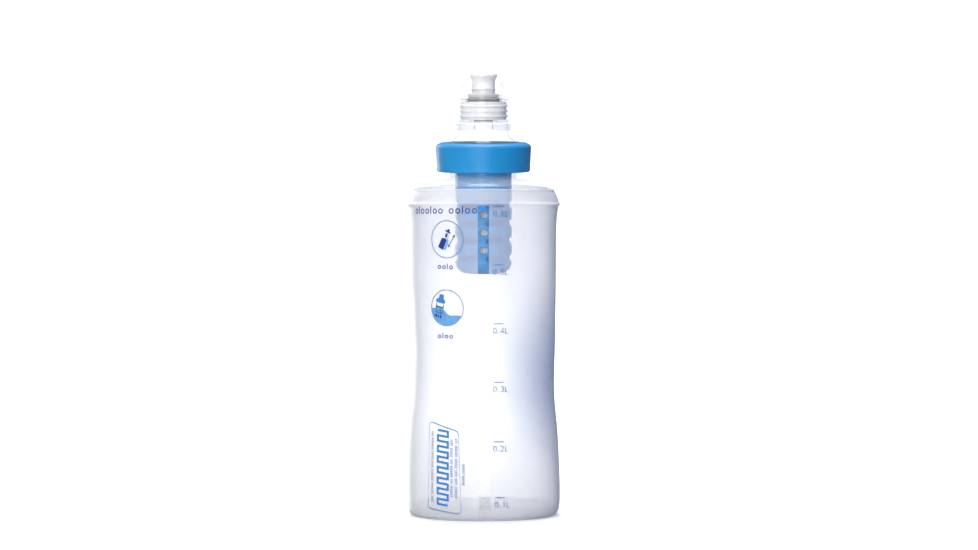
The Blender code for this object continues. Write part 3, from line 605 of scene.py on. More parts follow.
def seam_strip(finish, body):
    """Inner ply of the lap weld, a clear strip behind the front of the film."""
    low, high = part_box("seam_strip")
    bottom = low.z / MM
    top = high.z / MM - seam_bow(high.z / MM)
    rows = 60
    bm = bmesh.new()
    sections = []
    for i in range(rows + 1):
        height = bottom + (top - bottom) * i / rows
        section = []
        for out in (-FILM_WALL - 0.25, -FILM_WALL - 0.7):
            reaches = (-2.75, -1.4, 0.0, 1.4, 2.75)
            for reach in reaches if out > -1.2 else reaches[::-1]:
                place = film_point(reach + seam_drift(height), height, out)
                section.append(bm.verts.new(place * MM))
        sections.append(section)
    skin_sections(bm, sections)
    return finish_mesh("weld_inner_ply", bm, finish, body, ["seam_strip"],
                       limit=math.radians(50), weighted=False)


def shoulder(finish, body):
    """Moulded shoulder: a skirt inside the film, a dome, and the round threaded neck."""
    neck_rim = 181.6
    outline = [(36.0, 159.0, 0.2), (34.3, 165.0, 0.1), (34.9, 165.4, 0.15), (34.6, 166.7, 0.8),
               (33.1, 168.3, 1.0), (30.9, 169.6, 1.5), (27.0, 170.7, 2.0), (22.5, 171.7, 1.0),
               (19.1, 172.2, 1.2), (19.1, neck_rim, 0.35), (16.6, neck_rim, 0.35),
               (16.6, 170.2, 0.5), (22.5, 169.7, 1.0), (27.0, 168.8, 1.5), (30.2, 167.7, 1.0),
               (32.0, 166.3, 0.6), (32.6, 165.0, 0.6), (34.2, 159.0, 0.2)]

    def taper(radius, angle, height):
        share = smooth_step((radius - 20.0) / 12.0)
        fade = min(max((172.2 - height) / 7.1, 0.0), 1.0)
        squash = 1.0 - (1.0 - OVAL) * share
        lift = SEAM_BOW * fade * share * math.sin(angle) ** 2
        return Vector((radius * math.cos(angle), squash * radius * math.sin(angle), height + lift))

    piece = turned("flask_shoulder", fillet(outline), finish, body,
                   ["shoulder_and_neck"], segments=128, shape=taper)
    join_solids(piece, [thread_ridge(18.7, 20.9, 175.4, 0.0, 2.2, 1.0, finish)])
    return piece


# ---------------- collar


def screw_collar(finish, body):
    """Smooth screw collar with a chamfered top, an inward lip and an inside thread."""
    low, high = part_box("screw_collar")
    radius = high.x / MM
    bottom = low.z / MM
    top = high.z / MM
    outline = [(radius - 1.1, bottom, 0.2), (radius - 0.6, bottom + 0.5, 0.4),
               (radius, top - 2.2, 0.9), (radius - 0.5, top - 1.1, 0.9), (radius - 2.6, top, 0.9),
               (18.8, top, 0.4), (18.8, top - 1.8, 0.3), (21.3, top - 1.8, 0.4),
               (21.3, bottom + 0.4, 0.2), (21.6, bottom, 0.2)]
    piece = turned("screw_collar_ring", fillet(outline), finish, body, ["screw_collar"],
                   segments=128)
    join_solids(piece, [thread_ridge(21.7, 20.0, 175.4, math.pi, 2.0, 0.8, finish)])
    return piece


# ---------------- filter


CAGE_COLUMNS = 6
WINDOW_PITCH = 8.87
WINDOW_HEIGHT = 3.0
WIDE_WINDOW_SPAN = (5.5, 48.5)
NARROW_WINDOW_SPAN = (-7.5, 10.5)
WIDE_WINDOW_ROWS = [130.5 + WINDOW_PITCH * row for row in range(4)]


def cage_window(bm, start, end, height):
    """Add one window's cutter: a rounded slot from start to end degrees, through the wall."""
    corner_height = 1.1
    corner_angle = math.degrees(corner_height / 13.0)
    half = WINDOW_HEIGHT / 2
    outline = []
    for centre_angle, centre_height, turn in (
            (end - corner_angle, height + half - corner_height, 0),
            (start + corner_angle, height + half - corner_height, 90),
            (start + corner_angle, height - half + corner_height, 180),
            (end - corner_angle, height - half + corner_height, 270)):
        for step in range(5):
            a = math.radians(turn + 22.5 * step)
            outline.append((centre_angle + corner_angle * math.cos(a),
                            centre_height + corner_height * math.sin(a)))
        if turn in (0, 180):
            far = start + corner_angle if turn == 0 else end - corner_angle
            pieces = max(int((end - start) / 6.0), 1)
            edge = height + half if turn == 0 else height - half
            here = centre_angle
            outline += [(here + (far - here) * i / pieces, edge) for i in range(1, pieces)]
    rings = []
    for radius in (11.0, 15.6):
        ring = []
        for angle, level in outline:
            ring.append(bm.verts.new(on_cylinder(radius, math.radians(angle), level) * MM))
        rings.append(ring)
    skin_sections(bm, rings)


def filter_cage(finish, body):
    """Cage with staggered rounded windows and shallow waists at the wide rows."""
    low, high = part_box("filter_cage")
    radius = high.x / MM
    wall = 1.5
    corner = 6.0
    bottom = low.z / MM
    shoulder_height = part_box("filter_head")[0].z / MM - 0.3
    side = []
    height = bottom + corner
    while height < shoulder_height - 0.6:
        waist = sum(math.exp(-((height - row) / 1.9) ** 2) for row in WIDE_WINDOW_ROWS)
        side.append((radius - 0.5 * waist, height))
        height += 0.75
    foot = arc((radius - corner, bottom + corner), corner, -90, 0, 10)[:-1]
    outer = [(0.0, bottom), (4.0, bottom)] + foot + side + [(radius, shoulder_height - 0.3),
                                                           (radius - 0.25, shoulder_height)]
    spigot = [(12.6, shoulder_height), (12.6, high.z / MM), (11.4, high.z / MM),
              (11.4, shoulder_height - 0.5)]
    inner_side = [(radius - wall, shoulder_height - 1.5), (radius - wall, bottom + corner + 0.5)]
    inner_foot = arc((radius - corner, bottom + corner), corner - wall, 0, -90, 10)[1:]
    inner = inner_side + inner_foot + [(4.0, bottom + wall), (0.0, bottom + wall)]
    cage = turned("filter_cage_shell", outer + spigot + inner, finish, body,
                  ["filter_cage"], segments=144)
    join_solids(cage, [cage_windows(finish, WIDE_WINDOW_SPAN, 0.0),
                       cage_windows(finish, NARROW_WINDOW_SPAN, WINDOW_PITCH / 2)], 'DIFFERENCE')
    return cage


def cage_windows(finish, span, lift):
    """Cutter for one kind of window, all round the cage. lift raises it over the wide rows."""
    bm = bmesh.new()
    for column in range(CAGE_COLUMNS):
        base = column * 360 / CAGE_COLUMNS - 90
        for row in WIDE_WINDOW_ROWS:
            cage_window(bm, base + span[0], base + span[1], row + lift)
    return loose_mesh(bm, finish)


def cage_shade_sheet(finish, body):
    """Dark blue sheet inside the cage, behind its wide windows and open at the narrow ones: painted
    shade that makes the wide windows look deep and dark.
    """
    outline = [(12.35, 128.8), (12.75, 128.8), (12.75, 162.6), (12.35, 162.6)]
    sheet = turned("filter_cage_shade_sheet", outline, finish, body, segments=144)
    join_solids(sheet, [cage_windows(finish, NARROW_WINDOW_SPAN, WINDOW_PITCH / 2)], 'DIFFERENCE')


def filter_head(finish, body):
    """Flanged tube in the neck, with the seal's groove in its flange."""
    low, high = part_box("filter_head")
    bottom = low.z / MM
    top = high.z / MM
    outline = [(14.2, bottom, 0.25), (14.2, top - 1.5, 0.5), (19.5, top - 1.5, 0.3),
               (19.5, top, 0.3), (17.2, top, 0.15), (17.2, top - 0.9, 0.3), (15.4, top - 0.9, 0.3),
               (15.4, top, 0.15), (12.9, top, 0.3), (12.9, bottom, 0.25)]
    return turned("filter_head_tube", fillet(outline), finish, body, ["filter_head"])


def fibre_path(radius, angle, phase):
    """One fibre: down the cage from the potting, then curving in under the bundle."""
    points = []
    steps = 15
    for i in range(steps + 1):
        t = i / steps
        if t < 0.75:
            height = 167.0 - (167.0 - 133.0) * t / 0.75
            reach = radius * (1 - 0.09 * smooth_step((height - 158.5) / 3.5))
        else:
            turn = (t - 0.75) / 0.25 * math.radians(75)
            height = 133.0 - 5.8 * math.sin(turn)
            reach = radius - 5.8 * (1 - math.cos(turn)) * 1.35
        sway = 0.014 * math.sin(phase + height * 0.16) + 0.008 * math.sin(phase * 3 + height * 0.41)
        points.append(on_cylinder(reach, angle + sway, height))
    return points


def fibre_bundle(finish, body):
    """Hollow fibres: rings of fine strands round a filled core."""
    rng = random.Random(7)
    thickness = 0.30
    bm = bmesh.new()
    for ring, count in ((11.85, 108), (11.25, 102), (10.65, 96)):
        for i in range(count):
            angle = 2 * math.pi * i / count + rng.uniform(-0.012, 0.012)
            radius = ring + rng.uniform(-0.14, 0.03)
            path = fibre_path(radius, angle, rng.uniform(0, 6.28))
            sections = []
            for k, point in enumerate(path):
                along = (path[min(k + 1, len(path) - 1)] - path[max(k - 1, 0)]).normalized()
                across = along.cross(Vector((math.cos(angle), math.sin(angle), 0.2))).normalized()
                other = along.cross(across)
                section = []
                for corner in range(6):
                    a = math.radians(60 * corner)
                    out = (across * math.cos(a) + other * math.sin(a)) * thickness
                    section.append(bm.verts.new((point + out) * MM))
                sections.append(section)
            skin_sections(bm, sections)
    core_outline = [(0.0, 127.4), (6.4, 127.6, 1.5), (9.6, 130.2, 2.0), (10.4, 134.0, 1.0),
                    (10.4, 158.0, 1.0), (9.6, 162.0, 1.0), (9.6, 167.0), (0.0, 167.0)]
    core = turned_bmesh(fillet(core_outline), SMALL_SEGMENTS)
    temp = bpy.data.meshes.new("core")
    core.to_mesh(temp)
    core.free()
    bm.from_mesh(temp)
    bpy.data.meshes.remove(temp)
    return finish_mesh("hollow_fibres", bm, finish, body, ["fibre_bundle"],
                       limit=math.radians(70), weighted=False)


def plain_ring(name, node, finish, body, edge=0.15):
    """A flat ring or plug of the CAD node's size, with softened edges."""
    corners = {}
    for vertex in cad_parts[node].data.vertices:
        radius = math.hypot(vertex.co.x, vertex.co.y) / MM
        corners.setdefault(round(vertex.co.z / MM, 2), []).append(radius)
    bottom, top = min(corners), max(corners)
    outer = max(corners[bottom])
    inner = min(corners[bottom])
    if inner < 0.5:
        inner = 0.0
    outline = [(inner, bottom, edge), (outer, bottom, edge), (outer, top, edge), (inner, top, edge)]
    return turned(name, fillet(outline), finish, body, [node])


def seal_ring(name, node, finish, body):
    """A round O-ring of the CAD node's size."""
    low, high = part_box(node)
    section = (high.z - low.z) / 2 / MM
    middle_height = (high.z + low.z) / 2 / MM
    section /= math.sin(math.radians(60))
    middle_radius = high.x / MM - section
    outline = arc((middle_radius, middle_height), section, 0, 337.5, 15)
    return turned(name, outline, finish, body, [node])


# ---------------- nozzle


def nozzle_barrel(finish, body):
    """Clear barrel: flange, cone, groove for the cap's ring, and the bead over it."""
    outline = [(19.8, 185.2, 0.3), (19.8, 186.6, 0.3), (18.5, 186.6, 0.2), (18.5, 188.9, 0.5),
               (15.3, 192.0, 0.6), (15.3, 193.5, 0.3), (13.6, 193.5, 0.25), (13.6, 199.0, 0.25),
               (15.0, 199.1, 0.25), (15.0, 199.9, 0.25), (14.05, 200.2, 0.2), (14.05, 210.6, 0.6),
               (12.5, 210.6, 0.2), (12.5, 193.0, 1.0), (16.6, 188.6, 1.0), (16.6, 185.2, 0.2)]
    return turned("nozzle_barrel_shell", fillet(outline), finish, body, ["nozzle_barrel"])


def nozzle_top(finish, body):
    """Clear shelf that plugs the barrel, with the guide tube of the spout."""
    outline = [(12.2, 209.9, 0.2), (12.2, 210.9, 0.1), (13.0, 211.2, 0.2), (13.0, 214.8, 0.4),
               (7.2, 214.8, 0.2), (7.2, 215.6, 0.2), (6.1, 215.6, 0.2), (6.1, 213.2, 0.2),
               (8.15, 213.2, 0.3), (8.15, 200.4, 0.2), (9.4, 200.4, 0.2), (9.4, 213.2, 0.3),
               (11.0, 213.2, 0.3), (11.0, 209.9, 0.2)]
    return turned("nozzle_shelf", fillet(outline), finish, body, ["nozzle_top"])


def nozzle_sleeve(finish, body):
    """Milky sleeve with three ribs, seen through the barrel."""
    outline = [(11.5, 200.4, 0.2)]
    for rib in (202.0, 204.6, 207.2):
        outline += [(11.5, rib - 0.6, 0.3), (12.2, rib - 0.3, 0.25), (12.2, rib + 0.3, 0.25),
                    (11.5, rib + 0.6, 0.3)]
    outline += [(11.5, 209.3, 0.25), (10.4, 209.3, 0.25), (10.4, 200.4, 0.2)]
    return turned("nozzle_sleeve_ribbed", fillet(outline), finish, body,
                  ["nozzle_sleeve"])


def valve_stem(finish, body):
    """Centre post on four spokes and a ring, rounded where it plugs the spout."""
    post = [(0.0, 200.6), (2.4, 200.6, 0.3), (2.4, 205.0, 0.6), (1.6, 207.0, 0.6),
            (1.6, 217.9, 0.7), (0.0, 217.9)]
    piece = turned("valve_stem_post", fillet(post), finish, body, ["valve_stem"],
                   segments=SMALL_SEGMENTS)
    ring = fillet([(6.7, 200.5, 0.2), (7.85, 200.5, 0.2), (7.85, 203.2, 0.2), (6.7, 203.2, 0.2)])
    parts = [loose_mesh(turned_bmesh(ring), finish),
             soft_box((-7.2, -0.6, 201.0), (7.2, 0.6, 202.8), 0.2, finish),
             soft_box((-0.6, -7.2, 201.0), (0.6, 7.2, 202.8), 0.2, finish)]
    join_solids(piece, parts)
    return piece


def spout(finish, body):
    """Push-pull mouthpiece: waisted column, flared soft lip and a grooved foot."""
    outline = [(3.4, 208.6, 0.3), (7.6, 208.6, 0.25), (7.6, 209.9, 0.2), (6.6, 209.9, 0.2),
               (6.6, 211.5, 0.2), (7.6, 211.5, 0.2), (7.6, 212.9, 0.25), (5.8, 212.9, 0.4),
               (5.8, 219.6, 2.0), (6.3, 221.0, 1.0), (7.0, 222.3, 0.5), (6.75, 223.3, 0.45),
               (4.6, 223.3, 0.6), (1.9, 222.6, 0.4), (1.9, 221.6, 0.2), (3.4, 220.6, 0.3)]
    return turned("spout_mouthpiece", fillet(outline, steps=6), finish, body, ["spout"])


# ---------------- cap


HINGE = (0.0, 17.0, 215.9)


def cap_ring(finish, body):
    """Ring in the nozzle's groove, with a strap up the back and two hinge cheeks."""
    outline = [(13.9, 194.7, 0.3), (15.3, 194.7, 0.45), (15.3, 198.0, 0.45), (13.9, 198.0, 0.3)]
    piece = turned("cap_ring_band", fillet(outline), finish, body, ["cap_ring"])
    strap_top = HINGE[2] - 2.1
    parts = [soft_box((-4.8, 14.6, 194.9), (4.8, 15.9, 197.8), 0.3, finish),
             soft_box((-4.8, 15.5, 195.1), (4.8, 17.0, strap_top), 0.4, finish)]
    for side in (-1, 1):
        near, far = sorted((side * 2.9, side * 4.8))
        parts.append(soft_box((near, 15.6, strap_top - 2.0), (far, 18.4, HINGE[2] + 1.4), 0.45,
                              finish))
    join_solids(piece, parts)
    join_solids(piece, [rod_along_x(HINGE, 1.0, 12.0, 0.1, finish)], 'DIFFERENCE')
    return piece


def hinge_pin(finish, body):
    """Pin through the cheeks and the cap's hinge barrel."""
    rod = rod_along_x(HINGE, 0.7, 9.0, 0.2, finish)
    bm = bmesh.new()
    bm.from_mesh(rod.data)
    bpy.data.objects.remove(rod, do_unlink=True)
    return finish_mesh("cap_hinge_pin", bm, finish, body, ["hinge_pin"])


def flip_cap(finish, body):
    """Clear hat over the spout: flat crown, flared side, brim and hinge barrel."""
    outline = [(0.0, 224.6), (8.4, 224.6, 0.2), (8.9, 224.3, 0.35), (9.1, 221.6, 1.5),
               (9.7, 219.6, 2.0), (10.5, 218.4, 1.2), (12.7, 217.6, 1.0), (13.7, 216.6, 0.5),
               (13.7, 215.1, 0.3), (12.4, 215.1, 0.3), (12.0, 216.4, 0.5), (9.9, 217.3, 1.0),
               (8.7, 219.2, 2.0), (8.2, 221.6, 1.5), (8.0, 223.7, 0.5), (0.0, 223.7)]
    piece = turned("flip_cap_hat", fillet(outline), finish, body, ["flip_cap"])
    join_solids(piece, [soft_box((-2.6, 12.9, 215.4), (2.6, 17.0, 216.6), 0.3, finish),
                        rod_along_x(HINGE, 1.6, 5.2, 0.3, finish)])
    join_solids(piece, [rod_along_x(HINGE, 1.0, 8.0, 0.1, finish)], 'DIFFERENCE')
    return piece


# ---------------- prints


INK_LIFT = 0.06
INK_THICKNESS = 0.08
LINE = 0.42


def stroke(points, width):
    """Outline of a line of even width through points, with square ends."""
    left, right = [], []
    for i, point in enumerate(points):
        here = Vector(point)
        before = Vector(points[max(i - 1, 0)])
        after = Vector(points[min(i + 1, len(points) - 1)])
        entering = (here - before).normalized() if i else (after - here).normalized()
        leaving = (after - here).normalized() if i < len(points) - 1 else entering
        along = (entering + leaving).normalized()
        side = Vector((-along.y, along.x)) * width / 2 / max(along.dot(leaving), 0.5)
        left.append(tuple(here + side))
        right.append(tuple(here - side))
    return left + right[::-1]


def ring_shape(centre, radius, width, steps=64):
    """A ring as an outer loop and a hole."""
    turns = [2 * math.pi * i / steps for i in range(steps)]
    return [[(centre[0] + reach * math.cos(a), centre[1] + reach * math.sin(a)) for a in turns]
            for reach in (radius + width / 2, radius - width / 2)]


def printed(name, shapes, finish):
    """Lay flat shapes of (reach, height) on the film as thin solid ink. A shape is a list of
    loops: its outline, then its holes."""
    bm = bmesh.new()
    for loops in shapes:
        edges = []
        for loop in loops:
            verts = [bm.verts.new((x, z, 0.0)) for x, z in loop]
            edges += [bm.edges.new((verts[i - 1], verts[i])) for i in range(len(verts))]
        bmesh.ops.triangle_fill(bm, use_beauty=True, edges=edges)
    low = min(v.co.x for v in bm.verts)
    high = max(v.co.x for v in bm.verts)
    step = 1.2
    for i in range(1, int((high - low) / step) + 1):
        bmesh.ops.bisect_plane(bm, geom=bm.verts[:] + bm.edges[:] + bm.faces[:],
                               plane_co=(low + i * step, 0.0, 0.0), plane_no=(1.0, 0.0, 0.0))
    for face in bm.faces:
        if face.normal.z < 0:
            face.normal_flip()
    grown = bmesh.ops.extrude_face_region(bm, geom=bm.faces[:])
    top = [v for v in grown["geom"] if isinstance(v, bmesh.types.BMVert)]
    for vert in top:
        vert.co.z = 1.0
    for vert in bm.verts:
        out = INK_LIFT + INK_THICKNESS * vert.co.z
        vert.co = film_point(vert.co.x, vert.co.y, out) * MM
    return finish_mesh(name, bm, finish, "flask", weighted=False)


GLYPH_STROKES = {
    "0": [[(0.5, 0), (0.15, 0.12), (0, 0.5), (0.15, 0.88), (0.5, 1), (0.85, 0.88), (1, 0.5),
           (0.85, 0.12), (0.5, 0), (0.4, 0.02)]],
    "1": [[(0.25, 0.82), (0.6, 1), (0.6, 0)]],
    "2": [[(0.02, 0.74), (0.12, 0.93), (0.45, 1), (0.8, 0.92), (0.9, 0.7), (0.75, 0.45), (0.05, 0),
           (1, 0)]],
    "3": [[(0.05, 0.95), (0.5, 1), (0.88, 0.85), (0.8, 0.6), (0.45, 0.53)],
          [(0.45, 0.53), (0.85, 0.45), (0.95, 0.22), (0.7, 0.03), (0.3, 0), (0.02, 0.12)]],
    "4": [[(0.78, 0), (0.78, 1), (0.0, 0.3), (1.05, 0.3)]],
    "5": [[(0.9, 1), (0.25, 1), (0.12, 0.55), (0.5, 0.63), (0.88, 0.5), (0.92, 0.2), (0.6, 0),
           (0.2, 0.02), (0.02, 0.15)]],
    "6": [[(0.75, 1), (0.25, 0.62), (0.05, 0.3), (0.2, 0.05), (0.5, 0), (0.85, 0.08), (0.95, 0.32),
           (0.8, 0.55), (0.5, 0.6), (0.2, 0.5)]],
    "L": [[(0.1, 1), (0.1, 0), (0.85, 0)]],
    ".": [[(0.08, 0.08), (0.48, 0.08)]],
}


def glyphs(text, left, bottom, height, width, advance, line):
    """Thin strokes of a generic numeral, as shapes."""
    shapes = []
    x = left
    for letter in text:
        for points in GLYPH_STROKES[letter]:
            path = [(x + px * width, bottom + pz * height) for px, pz in points]
            shapes.append([stroke(path, line)])
        x += advance * (0.62 if letter == "." else 1.0)
    return shapes


TICK_HEIGHTS = (12.2, 40.2, 69.9, 99.2, 128.7, 156.7)


def scale_marks():
    """Volume ticks with their generic numerals."""
    shapes = []
    for mark, height in enumerate(TICK_HEIGHTS, start=1):
        drift = seam_drift(height)
        shapes.append([stroke([(5.1 + drift, height), (10.3 + drift, height)], LINE)])
        shapes += glyphs(f"0.{mark}L", 5.0 + drift, height - 4.8, 2.65, 1.6, 2.3, 0.36)
    return shapes


def blob(points, centre, size, turn=0.0):
    """A filled outline given in unit coordinates, turned, scaled and placed."""
    c, s = math.cos(turn), math.sin(turn)
    return [[(centre[0] + size * (x * c - z * s), centre[1] + size * (x * s + z * c))
             for x, z in points]]


ICON_REACH = -19.2
ICON_RADIUS = 9.0
ICON_HEIGHTS = (140.9, 106.9)
BOTTLE_BODY = [(-0.28, -0.6), (0.12, -0.6), (0.12, 0.08), (-0.02, 0.16), (-0.28, 0.06)]
BOTTLE_NECK = [(-0.12, 0.22), (0.02, 0.22), (0.02, 0.50), (-0.12, 0.50)]
BOTTLE_CAP = [(-0.24, 0.56), (0.16, 0.56), (0.16, 0.66), (0.04, 0.66), (0.04, 0.78), (-0.12, 0.78),
              (-0.12, 0.66), (-0.24, 0.66)]
BOTTLE_SIDE = [(0.15, -0.6), (0.30, -0.54), (0.30, 0.04), (0.10, 0.24), (0.10, 0.5), (0.06, 0.5),
               (0.06, 0.16), (0.15, 0.08)]
BOTTLE_TURN = math.radians(-27)
BOTTLE_SIZE = 7.6
BOTTLE_MIDDLE = (ICON_REACH - 0.9, ICON_HEIGHTS[0] - 0.6)


def icon_rings():
    """Round frames of the two care icons."""
    return [ring_shape((ICON_REACH, height), ICON_RADIUS, LINE) for height in ICON_HEIGHTS]


def icon_water():
    """Water in the second icon, higher on its left, and the light side of the first's bottle."""
    reach = ICON_RADIUS - 0.3
    start, end = math.radians(180), math.radians(334)
    steps = 40
    water = []
    for i in range(steps + 1):
        a = start + (end - start) * i / steps
        water.append((ICON_REACH + reach * math.cos(a), ICON_HEIGHTS[1] + reach * math.sin(a)))
    right, left = water[-1], water[0]
    for i in range(1, steps // 2):
        t = 2 * i / steps
        x = right[0] + (left[0] - right[0]) * t
        z = right[1] + (left[1] - right[1]) * smooth_step((t - 0.3) / 0.4)
        water.append((x, z + 0.25 * math.sin(t * 11.0)))
    return [[water], blob(BOTTLE_SIDE, BOTTLE_MIDDLE, BOTTLE_SIZE, BOTTLE_TURN)]


def icon_pictures():
    """A tilted bottle with a double arrow."""
    shapes = [blob(part, BOTTLE_MIDDLE, BOTTLE_SIZE, BOTTLE_TURN)
              for part in (BOTTLE_BODY, BOTTLE_NECK, BOTTLE_CAP)]
    start = Vector((ICON_REACH + 0.9, ICON_HEIGHTS[0] - 4.0))
    end = Vector((ICON_REACH + 4.6, ICON_HEIGHTS[0] + 2.4))
    along = (end - start).normalized()
    side = Vector((-along.y, along.x))
    shapes.append([stroke([tuple(start + along), tuple(end - along)], 0.35)])
    for tip, back in ((start, along), (end, -along)):
        shapes.append([[tuple(tip), tuple(tip + back * 1.4 + side * 0.75),
                        tuple(tip + back * 1.4 - side * 0.75)]])
    return shapes


CARTRIDGE_MIDDLE = (ICON_REACH - 3.7, ICON_HEIGHTS[1] + 1.3)
CARTRIDGE_TURN = math.radians(-12)
CARTRIDGE_SIZE = 6.4


def icon_cap():
    """The cartridge's cap."""
    cap = [(-0.38, 0.18), (0.38, 0.18), (0.42, 0.44), (0.2, 0.54), (0.2, 0.86), (-0.2, 0.86),
           (-0.2, 0.54), (-0.42, 0.44)]
    return [blob(cap, CARTRIDGE_MIDDLE, CARTRIDGE_SIZE, CARTRIDGE_TURN)]


def icon_cartridge():
    """The cartridge under its cap: a filled foot, and a grid above it."""
    def block(left, right, bottom, top):
        corners = [(left, bottom), (right, bottom), (right, top), (left, top)]
        return blob(corners, CARTRIDGE_MIDDLE, CARTRIDGE_SIZE, CARTRIDGE_TURN)

    shapes = [block(-0.29, 0.29, -1.0, -0.74)]
    shapes += [block(-0.29, 0.29, level, level + 0.11) for level in (-0.64, -0.44, -0.20)]
    shapes += [block(x - 0.035, x + 0.035, -0.96, 0.1) for x in (-0.32, 0.32)]
    return shapes


def marks(pattern, left, bottom, size, line):
    """Stand-in for a word: a ring for each o and an upright stroke for each l, spelling nothing."""
    shapes = []
    x = left
    for kind in pattern:
        if kind == "o":
            middle = (x + size / 2, bottom + size / 2)
            shapes.append(ring_shape(middle, (size - line) / 2, line, 20))
            x += size * 1.35
        else:
            middle = x + line / 2
            shapes.append([stroke([(middle, bottom), (middle, bottom + size * 1.4)], line)])
            x += line + size * 0.4
    return shapes


def caption_marks():
    """Stand-ins for a heading over the icons and for one word under each."""
    heading = 153.2
    shapes = marks("olooloo", -41.0, heading, 2.6, 0.52)
    shapes += marks("ooloo", -17.8, heading, 2.6, 0.52)
    shapes += marks("oolo", -24.3, ICON_HEIGHTS[0] - 14.6, 2.0, 0.46)
    shapes += marks("oloo", -24.2, ICON_HEIGHTS[1] - 15.4, 2.0, 0.46)
    return shapes


def label_frame():
    """Slanted rounded frame of the label."""
    corners = [(-30.4, 5.8), (-11.0, 3.3), (-12.7, 45.4), (-29.8, 50.2)]
    middle = Vector((sum(c[0] for c in corners) / 4, sum(c[1] for c in corners) / 4))
    loops = []
    for inset in (0.0, LINE):
        points = [Vector(c) + (middle - Vector(c)).normalized() * inset * 1.5 for c in corners]
        loops.append(fillet([(*point, 2.6 - inset) for point in points], steps=8))
    return [loops]


def label_band():
    """Bold square wave up the label's middle, slanted like the frame."""
    left, right = -24.2, -18.4
    bottom, top = 8.6, 45.6
    turns = 15
    path = []
    for i in range(turns):
        height = bottom + (top - bottom) * i / (turns - 1)
        ends = (left, right) if i % 2 else (right, left)
        path += [(x, height - 0.12 * (x - left)) for x in ends]
    return [[stroke(path, 1.15)]]


def label_lines():
    """Fine columns of short dashes beside the band, with gaps like those between words."""
    shapes = []
    rng = random.Random(3)
    width = 1.5
    for x, start, end in ((-27.6, 9.6, 44.6), (-16.4, 12.7, 41.5), (-13.9, 12.2, 42.0),
                          (-10.1, 18.6, 29.8)):
        height = start
        while height < end:
            for _ in range(rng.randint(3, 7)):
                if height < end:
                    shapes.append([stroke([(x - width / 2, height), (x + width / 2, height)], 0.4)])
                height += 0.85
            height += 0.7
    return shapes


# ---------------- build


# The film's last setting lays painted shade on the right of its waist.
film = frosted("frosted_film", (0.93, 0.935, 0.965), haze=0.25, roughness=0.36, clear_haze=0.015,
               cloud=0.04, shine=0.03, least=0.16, shade_strength=1.2)
panel = frosted("frosted_panel", (0.92, 0.925, 0.95), haze=0.30, roughness=0.35, cloud=0.05,
                least=0.7)
weld = frosted("clear_weld_ply", (0.95, 0.96, 0.98), haze=0.012, roughness=0.15, cloud=0.1,
               shine=0.01, grazing=0.4, least=0.3)
milky = frosted("milky_moulding", (0.99, 0.98, 0.96), haze=0.075, roughness=0.25, glow=0.5,
                grazing=0.12, least=0.35)
sleeve_milk = frosted("milky_sleeve", (0.995, 0.992, 0.985), haze=0.92, roughness=0.25, glow=0.15,
                      shine=0.02, grazing=0.2, least=0.35)
lip_silicone = frosted("milky_silicone", (0.99, 0.985, 0.987), haze=0.85, roughness=0.28,
                       glow=0.15, shine=0.02, grazing=0.2, least=0.35)
clear = clear_plastic("clear_moulding", (0.985, 0.986, 0.987), haze=0.05, grazing=0.25)
cap_clear = clear_plastic("clear_cap", (0.990, 0.991, 0.991), haze=0.03)
blue = moulded_plastic("blue_satin_plastic", (0.010, 0.250, 0.570), 0.38)
cage_blue = moulded_plastic("blue_gloss_plastic", (0.012, 0.290, 0.680), 0.26, scatter=0.15)
# Dark blue of the painted shade sheet behind the cage's wide windows.
shade_sheet_blue = moulded_plastic("painted_shade_blue_plastic", (0.010, 0.150, 0.460), 0.40)
seal = moulded_plastic("seal_rubber", (0.72, 0.73, 0.74), 0.5, grain=0.3)
resin = moulded_plastic("potting_resin", (0.88, 0.85, 0.77), 0.3, scatter=0.4)
white_fibre = hollow_fibre("white_fibre")
line_ink = ink("ink_line_blue", (0.120, 0.240, 0.400))
water_ink = ink("ink_water_blue", (0.120, 0.330, 0.620))
bold_ink = ink("ink_bold_blue", (0.040, 0.200, 0.480))
scale_ink = ink("ink_scale_blue", (0.090, 0.160, 0.340))
dark_ink = ink("ink_dark_blue", (0.016, 0.028, 0.230))

flask_film(film, "flask")
base_panel(panel, "flask")
seam_strip(weld, "flask")
shoulder(milky, "flask")
screw_collar(blue, "collar")
plain_ring("neck_gasket_ring", "neck_gasket", seal, "filter")
filter_head(cage_blue, "filter")
filter_cage(cage_blue, "filter")
# A dark sheet stands as painted shade behind the cage's wide windows.
cage_shade_sheet(shade_sheet_blue, "filter")
plain_ring("potting_disc", "potting_plug", resin, "filter")
fibre_bundle(white_fibre, "filter")
seal_ring("head_seal", "head_o_ring", seal, "filter")
nozzle_barrel(clear, "filter")
plain_ring("nozzle_floor_ring", "nozzle_floor", clear, "filter")
nozzle_top(clear, "filter")
nozzle_sleeve(sleeve_milk, "filter")
valve_stem(sleeve_milk, "filter")
spout(lip_silicone, "spout")
seal_ring("spout_seal", "spout_o_ring", seal, "spout")
cap_ring(cap_clear, "cap_ring")
hinge_pin(sleeve_milk, "cap_ring")
flip_cap(cap_clear, "flip_cap")

for print_name, shapes, colour in (("scale", scale_marks(), scale_ink),
                                   ("icon_frames", icon_rings(), line_ink),
                                   ("icon_water", icon_water(), water_ink),
                                   ("icon_bottle", icon_pictures(), dark_ink),
                                   ("icon_cap", icon_cap(), bold_ink),
                                   ("icon_cartridge", icon_cartridge(), dark_ink),
                                   ("captions", caption_marks(), dark_ink),
                                   ("label_frame", label_frame(), line_ink),
                                   ("label_band", label_band(), bold_ink),
                                   ("label_lines", label_lines(), scale_ink)):
    printed("print_" + print_name, shapes, colour)


# ---------------- stage, light and camera


